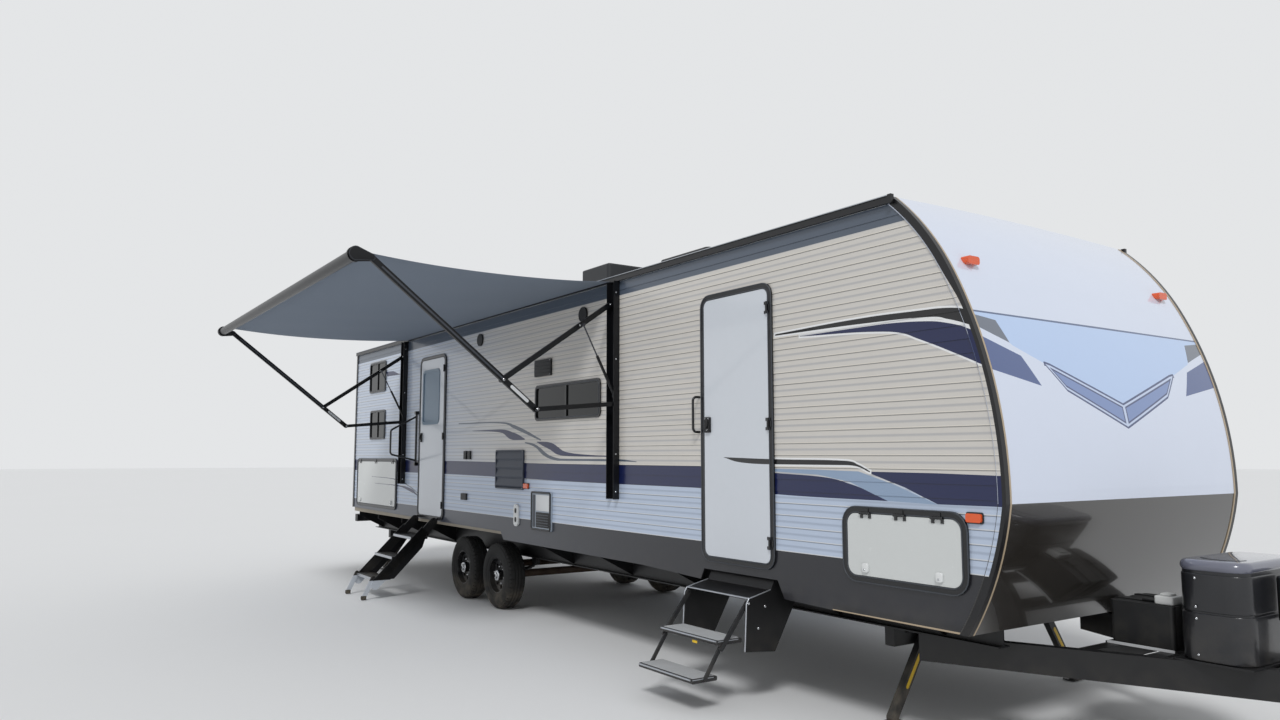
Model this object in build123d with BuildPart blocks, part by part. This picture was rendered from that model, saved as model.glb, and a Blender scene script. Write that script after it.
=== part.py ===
from build123d import *
import math
import os

# Family travel caravan on its pitch: awning and slide-out room out, entrance steps down, jack
# and corner legs lowered. Millimetres, X forward, Y towards the road side, Z up. The pieces are
# drawn with x = 0 at the foremost point of the nose, y = 0 on the centre line and z = 0 on the
# ground. The door side is -Y. At the end all pieces move together, so that the origin is the
# middle of the whole footprint at ground level.

# Body shell
HALF_WIDTH = 1219.0
BODY_LENGTH = 10450.0
NOSE_Z = 1310.0
ROOF_EDGE_Z = 3014.0
ROOF_CROWN_Z = 3052.0
WALL_TOP_Z = 2976.0
SKIN = 10.0
PANEL = 38.0
SHELL = SKIN + PANEL
REAR_X = -BODY_LENGTH
AXLE_X = [REAR_X + 4464.0, REAR_X + 3624.0]
# Front silhouette seen from the side, as x and z
UPPER_MID = (-123.0, 2139.0)
SHOULDER = (-280.0, 2527.0)
CROWN_FRONT = (-700.0, ROOF_CROWN_Z)
LOWER_MID = (-91.0, 950.0)
FRONT_FOOT = (-391.0, 440.0)
FRONT_LOW_Z = 640.0
# Corrugated skin
LAP = 75.0
LAP_STEP = 4.0
SKIRT_TOP_Z = 951.0
# Lower edge of the skirt from front to rear, as x and z
SKIRT_EDGE = [(-1200, 645), (-1590, 655), (-1650, 765), (-2400, 765), (-2440, 690), (-3180, 716)]
SKIRT_EDGE += [(AXLE_X[0] + 396, 726), (AXLE_X[0] + 326, 803), (AXLE_X[1] - 309, 806), (REAR_X + SKIN, 829)]
# Corner and roof edge mouldings
TRIM_PROUD = 4.0
TRIM_WIDTH = 40.0
TRIM_SIDE = 8.0
GUTTER = 22.0
GUTTER_FRONT_X = -645.0
SPOUT = 26.0
# Floor and frame
FRAME_BOTTOM_Z = 525.0
FRAME_DEPTH = 250.0
FRAME_TOP_Z = FRAME_BOTTOM_Z + FRAME_DEPTH
FLOOR = 70.0
FLOOR_TOP_Z = FRAME_TOP_Z + FLOOR
RAIL_Y = HALF_WIDTH - 399.0
RAIL_FLANGE = 100.0
RAIL_PLATE = 8.0
RAIL_FRONT_X = -320.0
CROSS_X = [-360, -1500, -3000, -4500, REAR_X + 4950, REAR_X + 3150, REAR_X + 1850, REAR_X + 750, REAR_X + 70]
OUTRIGGER_X = [-700, -1500, -2900, -3900, -4900, REAR_X + 2750, REAR_X + 1850, REAR_X + 950, REAR_X + 150]
CROSS_TUBE = 80.0
OUTRIGGER_TIP = 60.0
BUMPER = 100.0
BUMPER_Z = 670.0
BUMPER_HALF = HALF_WIDTH - 69.0
# Drawbar
BAR_DEPTH = 150.0
BAR_WIDTH = 60.0
BAR_TOP_Z = FRAME_BOTTOM_Z
BAR_REAR = (-850.0, RAIL_Y + 30.0)
BAR_FRONT = (950.0, 62.0)
SOCKET_X = 1130.0
SOCKET_Z = 470.0
SOCKET_RADIUS = 29.8
SOCKET_DEPTH = 45.0
COUPLER_RADIUS = 52.0
COUPLER_LAP = 120.0
LATCH_WIDTH = 24.0
# Coupler latch lever, as x and z
LATCH_SHAPE = [(1040, 500), (1105, 560), (1090, 600), (960, 590), (955, 575), (1040, 570)]
JACK_X = 770.0
JACK_TUBE = 32.0
JACK_INNER = 25.0
JACK_FOOT = 150.0
JACK_PLATE = 130.0
JACK_OUTER_Z = 330.0
JACK_HEAD_Z = 745.0
JACK_HEAD = (150.0, 170.0, 215.0)
TANK_X = 505.0
TANK_LENGTH = 340.0
TANK_WIDTH = 680.0
TANK_SHOULDER_Z = 935.0
TANK_TOP_Z = 1030.0
TANK_DRAW = 110.0
TANK_WALL = 5.0
TRAY = 10.0
TRAY_TIES = [-60, 230, 400, 620]
# Trays on the drawbar, as middle x, length and width
TRAYS = [(TANK_X, 370.0, 700.0), (90.0, 380.0, 440.0)]
BATTERY = (340.0, 190.0, 225.0)
BATTERY_X = 90.0
BATTERY_GAP = 8.0
BATTERY_LIP = 4.0
BATTERY_LID_Z = 170.0
# Running gear
TYRE_RADIUS = 331.5
TYRE_SIDES = 48
TYRE_WIDTH = 205.0
RIM_RADIUS = 177.8
RIM_WIDTH = 165.0
WHEEL_Y = HALF_WIDTH - 201.5
SPINDLE_RADIUS = 25.0
SPINDLE_GAP = 0.4
AXLE_RADIUS = 38.0
SPRING_WIDTH = 45.0
SPRING_HALF = 330.0
SPRING_RISE = 60.0
LEAF = 9.0
SPRING_LEAVES = 4
HANGER = 50.0
# Spring hangers as middle x and half length at the eyes; the middle one is the equaliser
HANGERS = [
    (AXLE_X[0] + SPRING_HALF, 35.0),
    ((AXLE_X[0] + AXLE_X[1]) / 2, (AXLE_X[0] - AXLE_X[1]) / 2 - SPRING_HALF + 15.0),
    (AXLE_X[1] - SPRING_HALF, 35.0),
]
EYE_RADIUS = 16.0
DRUM_RADIUS = 130.0
DRUM = 60.0
DRUM_GAP = 12.0
TYRE_BULGE = 256.0
TYRE_SHOULDER = 320.0
HUB_CAP = 30.0
TREAD_HALF = 80.0
BEAD_HALF = 80.0
TYRE_WALL = 14.0
RIM_WALL = 6.0
DISC_Y = 20.0
HUB_RADIUS = 55.0
RIM_HOLES = 8
RIM_HOLE = 22.0
RIM_HOLE_CIRCLE = 122.0
# Openings: leaf limits x rear, x front, z low, z high, corner radius
FRONT_DOOR = (-2369.0, -1701.0, 861.0, 2645.0, 50.0)
REAR_DOOR = (REAR_X + 2578.0, REAR_X + 3290.0, 861.0, 2677.0, 50.0)
REAR_DOOR_WINDOW = (REAR_X + 2664.0, REAR_X + 3131.0, 1939.0, 2531.0, 40.0)
BAGGAGE = (-1036.0, -262.0, 872.0, 1220.0, 60.0)
KITCHEN = (REAR_X + 224.0, REAR_X + 1744.0, 905.0, 1470.0, 30.0)
LEAF_THICK = 40.0
LEAF_GAP = 5.0
JAMB = 14.0
FLANGE = 22.0
FLANGE_THICK = 12.0
HINGE_RADIUS = 8.0
HINGE_OFFSET = 9.0
HINGE_PLATE = 4.0
HINGE_TAB = 28.0
KNUCKLE = 40.0
RUN_GAP = 0.3
HINGE_INSET = 80.0
LATCH_INSET = 45.0
DOOR_LATCH_Z = 1763.0
LATCH = (60.0, 110.0)
LATCH_PROUD = 14.0
THUMB_LATCH = 18.0
GRAB_X = -2440.0
GRAB_Z = [1716.0, 1965.0]
GRAB_REACH = 60.0
GRAB_TUBE = 9.0
LOCKER_REAR_X = -1110.0
LOCKER_TOP_Z = 1290.0
BAY_WALL = 15.0
KITCHEN_DEPTH = 560.0
# Windows: outer frame limits x rear, x front, z low, z high, corner radius
BUNK_WINDOWS = [
    (REAR_X + 605.0, REAR_X + 1263.0, 2399.0, 2813.0, 50.0),
    (REAR_X + 667.0, REAR_X + 1279.0, 1765.0, 2157.0, 50.0),
]
CURB_WINDOWS = [(-4943.0, -3777.0, 1869.0, 2201.0, 50.0), *BUNK_WINDOWS]
ROAD_WINDOWS = [
    (-1950.0, -1300.0, 1900.0, 2400.0, 50.0),
    (REAR_X + 2300.0, REAR_X + 2850.0, 2150.0, 2550.0, 50.0),
    *BUNK_WINDOWS,
]
WINDOW_FLANGE = 28.0
WINDOW_JAMB = 8.0
WINDOW_BAR = 24.0
GLASS = 6.0
# Slide-out room on the road side
SLIDE_BOX = (-6300.0, -3000.0, 900.0, 2760.0)
SLIDE_GAP = 10.0
SLIDE_OUT = 900.0
SLIDE_WALL = 40.0
SLIDE_LIP = 45.0
SLIDE_LIP_THICK = 20.0
SLIDE_INNER_Y = HALF_WIDTH - SHELL - 36.0
SLIDE_WINDOW = (-5500.0, -3800.0, 1800.0, 2400.0, 50.0)
RUNNER_X = [-5700, -3600]
RUNNER = 80.0
RUNNER_INNER_Y = 250.0
# Awning on the door side: wall channels, pivots as y and z
CHANNEL_X = [-3552, REAR_X + 2006]
CHANNEL_WIDTH = 110.0
CHANNEL_WALL = 5.0
CHANNEL_DEPTH = 56.0
CHANNEL_LOW_Z = 1200.0
UPPER_PIVOT = (-HALF_WIDTH - 39.0, 2790.0)
ELBOW = (-HALF_WIDTH - 1009.0, 2120.0)
ARM_SLOPE = 38.2
ARM_TAIL = 350.0
ARM_REACH = 1316.0
LOWER_PIVOT_Y = -HALF_WIDTH - 31.0
STRUT_ABOVE = 63.0
STRUT_ON_LINK = 352.0
BARREL_LENGTH = 360.0
BARREL_RADIUS = 12.0
ROD_RADIUS = 6.0
ROLLER_ALONG = 95.0
ROLLER_OUT = 57.0
ROLLER_RADIUS = 42.0
ROLLER_WALL = 3.0
ROLLER_CAP = 55.0
LANE = 26.0
LANE_STEP = 32.0
ARM_WIDTH = 45.0
UPPER_WIDTH = 40.0
LOWER_WIDTH = 36.0
PIN_RADIUS = 8.0
FABRIC = 6.0
FABRIC_SAG = 60.0
FABRIC_INSET = 60.0
ROD_LAP = 60.0
AWNING_RAIL_Z = 2987.0
# Wall fittings as limits like those of the openings
FRIDGE_VENT = (REAR_X + 4682.0, REAR_X + 5289.0, 1223.0, 1604.0, 20.0)
LOUVRES = 4
VENT_RIM = 14.0
VENT_PROUD = 18.0
SMALL_COVERS = [
    (-4949.0, -4633.0, 2283.0, 2439.0, 10.0),
    (REAR_X + 3828.0, REAR_X + 3964.0, 1076.0, 1146.0, 8.0),
    (REAR_X + 3884.0, REAR_X + 3944.0, 1509.0, 1599.0, 8.0),
    (REAR_X + 3989.0, REAR_X + 4049.0, 1509.0, 1599.0, 8.0),
]
SPEAKERS = [(-4067.0, 2770.0), (REAR_X + 4246.0, 2770.0)]
SPEAKER_RADIUS = 65.0
ROAD_COVERS = [
    (REAR_X + 1550.0, REAR_X + 1750.0, 1000.0, 1200.0, 10.0),
    (-2600.0, -2400.0, 1000.0, 1200.0, 10.0),
]
CURB_SERVICE = [(-4978.0, -4602.0, 866.0, 1219.0, 14.0), (-5345.0, -5255.0, 876.0, 1085.0, 40.0)]
ROAD_SERVICE = [
    (REAR_X + 2750.0, REAR_X + 2910.0, 1000.0, 1160.0, 20.0),
    (REAR_X + 2150.0, REAR_X + 2310.0, 1000.0, 1160.0, 20.0),
]
# Marker lamps as side and limits; rear lamps as distance from the middle, height, width, depth
SIDE_LAMPS = [
    (-1, (-227.0, -137.0, 1212.0, 1257.0, 12.0)),
    (-1, (-5151.0, -5061.0, 1240.0, 1285.0, 12.0)),
    (1, (-227.0, -137.0, 1212.0, 1257.0, 12.0)),
    (1, (SLIDE_BOX[0] - 490.0, SLIDE_BOX[0] - 400.0, 1240.0, 1285.0, 12.0)),
]
REAR_LAMPS = [
    (HALF_WIDTH - 139.0, 1060.0, 150.0, 170.0),
    (HALF_WIDTH - 219.0, 2900.0, 90.0, 40.0),
    (180.0, 2900.0, 90.0, 40.0),
]
REAR_LAMP_PROUD = 25.0
CAP_LAMPS = [HALF_WIDTH - 210.0, 210.0 - HALF_WIDTH]
CAP_LAMP_Z = 2605.0
CAP_LAMP = (100.0, 45.0)
# Roof fittings: air conditioner, and vents as x, y, length, width, height above the crown
AC_X = -3830.0
AC_SIZE = (850.0, 700.0, 338.0)
AC_CORNER = 100.0
AC_LEAN = 40.0
ROOF_SINK = 20.0
ROOF_VENTS = [
    (-4400.0, -700.0, 480.0, 420.0, 235.0),
    (REAR_X + 2550.0, 300.0, 400.0, 400.0, 80.0),
    (-1900.0, 0.0, 400.0, 400.0, 80.0),
]
# Front folding steps, y and z in a section across the vehicle
STEP_X = -2035.0
STEP_WIDTH = 640.0
STEP_SIDE = 10.0
STEP_LANE_GAP = 5.0
STEP_BAR = 12.0
STEP_PIVOT = (-HALF_WIDTH - 186.0, 628.0)
STEP_PIVOT_TWO = (-HALF_WIDTH - 393.0, 372.0)
STEP_ARM = 30.0
STEP_LOWER_ARM = 24.0
# Side plates and hood of the carrier, as reach outwards from the wall, and z
STEP_PLATE = [(181, 655), (0, 694), (-48, 775), (-259, 775), (-259, 690), (-29, 313), (221, 335), (203, 628)]
STEP_HOOD = [(181, 657), (2, 696), (-42, 775), (-259, 775), (-259, 769), (-46, 769), (-2, 690), (181, 651)]
TREAD_ONE = (-HALF_WIDTH - 326.0, 408.0)
TREAD_TWO = (-HALF_WIDTH - 511.0, 200.0)
TREAD_DEPTH = 195.0
TREAD = 28.0
# Rear ladder steps, outer lips of the treads as y and z
LADDER_X = REAR_X + 2900.0
LADDER_WIDTH = 600.0
LADDER_PIVOT = (-HALF_WIDTH - 66.0, 805.0)
LADDER_KNEE = (-HALF_WIDTH - 713.0, 148.0)
LADDER_FOOT = (-HALF_WIDTH - 831.0, 27.0)
LADDER_TREADS = [(-HALF_WIDTH - 321.0, 645.0), (-HALF_WIDTH - 534.0, 442.0), (-HALF_WIDTH - 735.0, 225.0)]
LADDER_TREAD_DEPTH = 190.0
LADDER_SIDE = 12.0
LADDER_STRINGER = 90.0
LADDER_LEG = 50.0
LADDER_LUG = (-HALF_WIDTH - 27.0, 835.0)
LADDER_LUG_WIDTH = 30.0
# Swinging hand rail behind the rear door
RAIL_HINGE_X = REAR_X + 2465.0
RAIL_HINGE_Y = -HALF_WIDTH - 21.0
RAIL_Z = [1448.0, 2063.0]
RAIL_LOOP_REACH = 315.0
RAIL_LOOP = [
    (RAIL_HINGE_Y, 1490),
    (RAIL_HINGE_Y - RAIL_LOOP_REACH, 1566),
    (RAIL_HINGE_Y - RAIL_LOOP_REACH, 1851),
    (RAIL_HINGE_Y, 2020),
]
RAIL_TUBE = 11.0
RAIL_POST = 13.0
RAIL_BLOCK = 40.0
# Corner legs, pivots and feet as y and z
LEG_X = [-1060.0, REAR_X + 550.0]
LEG_PIVOT = (RAIL_Y - 180.0, 455.0)
LEG_FOOT = (RAIL_Y + 115.0, 32.0)
LEG_GROUND_GAP = 2.0
LEG_WIDTH = 56.0
LEG_THICK = 44.0
LEG_TUBE = 70.0
LEG_TUBE_HALF = RAIL_Y + 50.0
LEG_PAD = (130.0, 90.0, 8.0)


def side_outline(grow=0.0):
    """Side silhouette of the shell, drawn flat in x and z, moved outwards by grow."""
    with BuildSketch() as outline:
        with BuildLine():
            upper = ThreePointArc((0, NOSE_Z), UPPER_MID, SHOULDER)
            TangentArc(upper @ 1, CROWN_FRONT, tangent=upper % 1)
            Polyline(CROWN_FRONT, (REAR_X, ROOF_CROWN_Z), (REAR_X, FRONT_FOOT[1]), FRONT_FOOT)
            ThreePointArc(FRONT_FOOT, LOWER_MID, (0, NOSE_Z))
        make_face()
        if grow:
            offset(amount=grow, kind=Kind.INTERSECTION)
    return outline.sketch


def rounded(limits, grow=0.0, mode=Mode.ADD):
    """Rounded rectangle in the open sketch, grown all round by grow."""
    left, right, low, high, radius = limits
    with Locations(((left + right) / 2, (low + high) / 2)):
        RectangleRounded(right - left + 2 * grow, high - low + 2 * grow, radius + grow, mode=mode)


def band(low, high, mode=Mode.INTERSECT):
    """Wide level band between two heights in the open sketch."""
    with Locations((REAR_X / 2, (low + high) / 2)):
        Rectangle(2 * BODY_LENGTH, high - low, mode=mode)


def link(start, end, width):
    """Bar with round ends between two points of the open sketch."""
    middle = ((start[0] + end[0]) / 2, (start[1] + end[1]) / 2)
    run = math.hypot(end[0] - start[0], end[1] - start[1])
    turn = math.degrees(math.atan2(end[1] - start[1], end[0] - start[0]))
    with Locations(middle):
        SlotCenterToCenter(run, width, rotation=turn)


def grown(limits, grow):
    """Limits of an opening moved outwards all round by grow."""
    left, right, low, high, radius = limits
    return (left - grow, right + grow, low - grow, high + grow, radius + grow)


# Holes in the walls: around a leaf's jamb, inside a window's flange, around the slide-out room
LEAF_HOLE = LEAF_GAP + JAMB
WINDOW_HOLE = WINDOW_JAMB - WINDOW_FLANGE
SLIDE_HOLE = grown((*SLIDE_BOX, 0.0), SLIDE_GAP)
CURB_HOLES = [grown(leaf, LEAF_HOLE) for leaf in (FRONT_DOOR, REAR_DOOR, BAGGAGE, KITCHEN)]
CURB_HOLES += [grown(window, WINDOW_HOLE) for window in CURB_WINDOWS]
ROAD_HOLES = [grown(BAGGAGE, LEAF_HOLE), SLIDE_HOLE]
ROAD_HOLES += [grown(window, WINDOW_HOLE) for window in ROAD_WINDOWS]

full_outline = side_outline()
inner_outline = side_outline(-SHELL)
trim_outline = side_outline(TRIM_PROUD)
trim_inner = side_outline(-TRIM_WIDTH)

with BuildSketch() as skirt_region:
    add(inner_outline)
    with Locations((REAR_X + SHELL, SKIRT_TOP_Z)):
        Rectangle(2 * PANEL, 2 * (SKIRT_TOP_Z - FRONT_FOOT[1]))
skirt_outline = skirt_region.sketch

pieces = []


def keep(built, name):
    """Names a finished piece and puts it on the list of pieces."""
    built.part.label = name
    pieces.append(built.part)


# Side walls: flat structural panels with the doors, hatches and windows cut out
for side, holes, name in ((-1, CURB_HOLES, "wall_curb"), (1, ROAD_HOLES, "wall_road")):
    with BuildPart() as wall:
        with BuildSketch(Plane.XZ.offset(-side * (HALF_WIDTH - SKIN))):
            add(inner_outline)
            band(FRAME_TOP_Z, WALL_TOP_Z)
            for hole in holes:
                rounded(hole, mode=Mode.SUBTRACT)
        extrude(amount=PANEL, dir=(0, -side, 0))
    keep(wall, name)

# Rear wall between the side walls
with BuildPart() as wall_rear:
    with BuildSketch(Plane.YZ.offset(REAR_X + SKIN)):
        with Locations((0, (FRAME_TOP_Z + WALL_TOP_Z) / 2)):
            Rectangle(2 * (HALF_WIDTH - SHELL), WALL_TOP_Z - FRAME_TOP_Z)
    extrude(amount=PANEL)
keep(wall_rear, "wall_rear")

# Corrugated skin: laps that lean out towards their lower edge, on both sides and the rear
LAPS = round((WALL_TOP_Z - SKIRT_TOP_Z) / LAP)


def lap_section(outer, inward):
    """Points of the lapped skin, level by level, from the outer face towards inward."""
    points = [(outer + inward * SKIN, SKIRT_TOP_Z), (outer, SKIRT_TOP_Z)]
    for lap in range(1, LAPS):
        level = SKIRT_TOP_Z + lap * LAP
        points.append((outer + inward * LAP_STEP, level))
        points.append((outer, level))
    points.append((outer + inward * LAP_STEP, WALL_TOP_Z))
    points.append((outer + inward * SKIN, WALL_TOP_Z))
    return points


skins = []
for side, holes in ((-1, CURB_HOLES), (1, ROAD_HOLES)):
    with BuildPart() as skin:
        with BuildSketch(Plane.YZ.offset(REAR_X + SKIN)):
            with BuildLine():
                Polyline(*lap_section(side * HALF_WIDTH, -side), close=True)
            make_face()
        extrude(amount=BODY_LENGTH)
        with BuildSketch(Plane.XZ.offset(-side * HALF_WIDTH)):
            add(inner_outline)
            with Locations((REAR_X + SHELL, (SKIRT_TOP_Z + WALL_TOP_Z) / 2)):
                Rectangle(2 * PANEL, WALL_TOP_Z - SKIRT_TOP_Z)
            for hole in holes:
                rounded(hole, mode=Mode.SUBTRACT)
        extrude(amount=SKIN, dir=(0, -side, 0), mode=Mode.INTERSECT)
    skins.append(skin.part)

with BuildPart() as rear_skin:
    with BuildSketch(Plane.XZ.offset(-HALF_WIDTH + SKIN)):
        with BuildLine():
            Polyline(*lap_section(REAR_X, 1), close=True)
        make_face()
    extrude(amount=2 * (HALF_WIDTH - SKIN))
skins.append(rear_skin.part)

with BuildPart() as siding:
    for skin_part in skins:
        add(skin_part)
keep(siding, "siding")

# Skirt below the laps: plain metal, cut up over the steps and the wheels, on both sides
skirt_parts = []
for side, holes in ((-1, CURB_HOLES), (1, ROAD_HOLES)):
    with BuildPart() as skirt:
        with BuildSketch(Plane.XZ.offset(-side * HALF_WIDTH)):
            with BuildLine():
                Polyline(
                    (0, SKIRT_TOP_Z),
                    (REAR_X + SKIN, SKIRT_TOP_Z),
                    (REAR_X + SKIN, SKIRT_EDGE[-1][1]),
                    *reversed(SKIRT_EDGE[:-1]),
                    (0, FRONT_LOW_Z),
                    close=True,
                )
            make_face()
            add(skirt_outline, mode=Mode.INTERSECT)
            for hole in holes:
                rounded(hole, mode=Mode.SUBTRACT)
        extrude(amount=SKIN, dir=(0, -side, 0))
    skirt_parts.append(skirt.part)

with BuildPart() as rear_skirt:
    with BuildSketch(Plane.YZ.offset(REAR_X)):
        with Locations((0, (SKIRT_EDGE[-1][1] + SKIRT_TOP_Z) / 2)):
            Rectangle(2 * (HALF_WIDTH - SKIN), SKIRT_TOP_Z - SKIRT_EDGE[-1][1])
    extrude(amount=SKIN)
skirt_parts.append(rear_skirt.part)

with BuildPart() as skirts:
    for skirt_part in skirt_parts:
        add(skirt_part)
keep(skirts, "skirts")

# Moulded white cap over the upper front, crowned across the width like the roof
with BuildPart() as front_cap:
    with BuildSketch(Plane.XZ.offset(-HALF_WIDTH)):
        add(full_outline)
        add(inner_outline, mode=Mode.SUBTRACT)
        with Locations((CROWN_FRONT[0] / 2, (NOSE_Z + ROOF_CROWN_Z) / 2)):
            Rectangle(-CROWN_FRONT[0], ROOF_CROWN_Z - NOSE_Z, mode=Mode.INTERSECT)
    extrude(amount=2 * HALF_WIDTH)
    with BuildSketch(Plane.YZ):
        with BuildLine():
            ThreePointArc((-HALF_WIDTH, ROOF_EDGE_Z), (0, ROOF_CROWN_Z), (HALF_WIDTH, ROOF_EDGE_Z))
            Polyline(
                (HALF_WIDTH, ROOF_EDGE_Z), (HALF_WIDTH, NOSE_Z), (-HALF_WIDTH, NOSE_Z),
                (-HALF_WIDTH, ROOF_EDGE_Z),
            )
        make_face()
    extrude(amount=CROWN_FRONT[0], mode=Mode.INTERSECT)
keep(front_cap, "front_cap")

# Dark sheet over the lower front
with BuildPart() as front_panel:
    with BuildSketch(Plane.XZ.offset(-HALF_WIDTH)):
        add(full_outline)
        add(inner_outline, mode=Mode.SUBTRACT)
        with Locations((FRONT_FOOT[0], (FRONT_LOW_Z + NOSE_Z) / 2)):
            Rectangle(-2 * FRONT_FOOT[0], NOSE_Z - FRONT_LOW_Z, mode=Mode.INTERSECT)
    extrude(amount=2 * HALF_WIDTH)
keep(front_panel, "front_panel")

# Crowned roof behind the cap
with BuildPart() as roof:
    with BuildSketch(Plane.YZ.offset(REAR_X)):
        with BuildLine():
            ThreePointArc((-HALF_WIDTH, ROOF_EDGE_Z), (0, ROOF_CROWN_Z), (HALF_WIDTH, ROOF_EDGE_Z))
            Polyline(
                (HALF_WIDTH, ROOF_EDGE_Z), (HALF_WIDTH, WALL_TOP_Z), (-HALF_WIDTH, WALL_TOP_Z),
                (-HALF_WIDTH, ROOF_EDGE_Z),
            )
        make_face()
    extrude(amount=BODY_LENGTH + CROWN_FRONT[0])
keep(roof, "roof")

# Floor sandwich between the walls, with the two runners of the slide-out room on it
with BuildPart() as floor:
    with BuildSketch(Plane.XZ.offset(-HALF_WIDTH + SHELL)):
        add(inner_outline)
        band(FRAME_TOP_Z, FLOOR_TOP_Z)
    extrude(amount=2 * (HALF_WIDTH - SHELL))
    for place in RUNNER_X:
        with BuildSketch(Plane.XY.offset(FLOOR_TOP_Z)):
            with Locations((place, (RUNNER_INNER_Y + HALF_WIDTH - SHELL) / 2)):
                Rectangle(RUNNER, HALF_WIDTH - SHELL - RUNNER_INNER_Y)
        extrude(amount=SLIDE_BOX[2] - FLOOR_TOP_Z - RUN_GAP)
keep(floor, "floor")

# Black mouldings: both front corners, both rear corners, and the gutters along the roof
trim_parts = []
for side in (-1, 1):
    with BuildPart() as front_moulding:
        with BuildSketch(Plane.XZ.offset(-side * HALF_WIDTH)):
            add(trim_outline)
            add(trim_inner, mode=Mode.SUBTRACT)
            with Locations((CROWN_FRONT[0] / 2 + TRIM_PROUD, (FRONT_LOW_Z + ROOF_EDGE_Z) / 2)):
                Rectangle(-CROWN_FRONT[0], ROOF_EDGE_Z - FRONT_LOW_Z, mode=Mode.INTERSECT)
        extrude(amount=TRIM_SIDE, dir=(0, side, 0))
        with BuildSketch(Plane.XZ.offset(-side * HALF_WIDTH)):
            add(trim_outline)
            add(full_outline, mode=Mode.SUBTRACT)
            with Locations((CROWN_FRONT[0] / 2 + TRIM_PROUD, (FRONT_LOW_Z + ROOF_EDGE_Z) / 2)):
                Rectangle(-CROWN_FRONT[0], ROOF_EDGE_Z - FRONT_LOW_Z, mode=Mode.INTERSECT)
        extrude(amount=TRIM_WIDTH, dir=(0, -side, 0))
    trim_parts.append(front_moulding.part)
    with BuildPart() as rear_moulding:
        with BuildSketch(Plane.XY.offset(SKIRT_EDGE[-1][1])):
            with BuildLine():
                Polyline(
                    (REAR_X - TRIM_SIDE, side * (HALF_WIDTH + TRIM_SIDE)),
                    (REAR_X + TRIM_WIDTH, side * (HALF_WIDTH + TRIM_SIDE)),
                    (REAR_X + TRIM_WIDTH, side * HALF_WIDTH),
                    (REAR_X + SKIN, side * HALF_WIDTH),
                    (REAR_X + SKIN, side * (HALF_WIDTH - SKIN)),
                    (REAR_X, side * (HALF_WIDTH - SKIN)),
                    (REAR_X, side * (HALF_WIDTH - TRIM_WIDTH)),
                    (REAR_X - TRIM_SIDE, side * (HALF_WIDTH - TRIM_WIDTH)),
                    close=True,
                )
            make_face()
        extrude(amount=WALL_TOP_Z - SKIRT_EDGE[-1][1])
    trim_parts.append(rear_moulding.part)
    with BuildPart() as gutter:
        with BuildSketch(Plane.YZ.offset(REAR_X - TRIM_SIDE)):
            with BuildLine():
                Polyline(
                    (side * HALF_WIDTH, WALL_TOP_Z),
                    (side * (HALF_WIDTH + GUTTER), WALL_TOP_Z),
                    (side * (HALF_WIDTH + GUTTER), ROOF_EDGE_Z + TRIM_SIDE),
                    (side * (HALF_WIDTH + GUTTER - TRIM_PROUD), ROOF_EDGE_Z + TRIM_SIDE),
                    (side * (HALF_WIDTH + TRIM_SIDE), ROOF_EDGE_Z - 2 * TRIM_SIDE),
                    (side * HALF_WIDTH, ROOF_EDGE_Z),
                    close=True,
                )
            make_face()
        extrude(amount=BODY_LENGTH + TRIM_SIDE + GUTTER_FRONT_X)
        with BuildSketch(Plane.XY.offset(ROOF_EDGE_Z + TRIM_SIDE)):
            with Locations((GUTTER_FRONT_X, side * (HALF_WIDTH + GUTTER))):
                Rectangle(SPOUT, SPOUT)
        extrude(amount=-2 * SPOUT)
    trim_parts.append(gutter.part)

with BuildPart() as mouldings:
    for trim_part in trim_parts:
        add(trim_part)
keep(mouldings, "mouldings")

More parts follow.
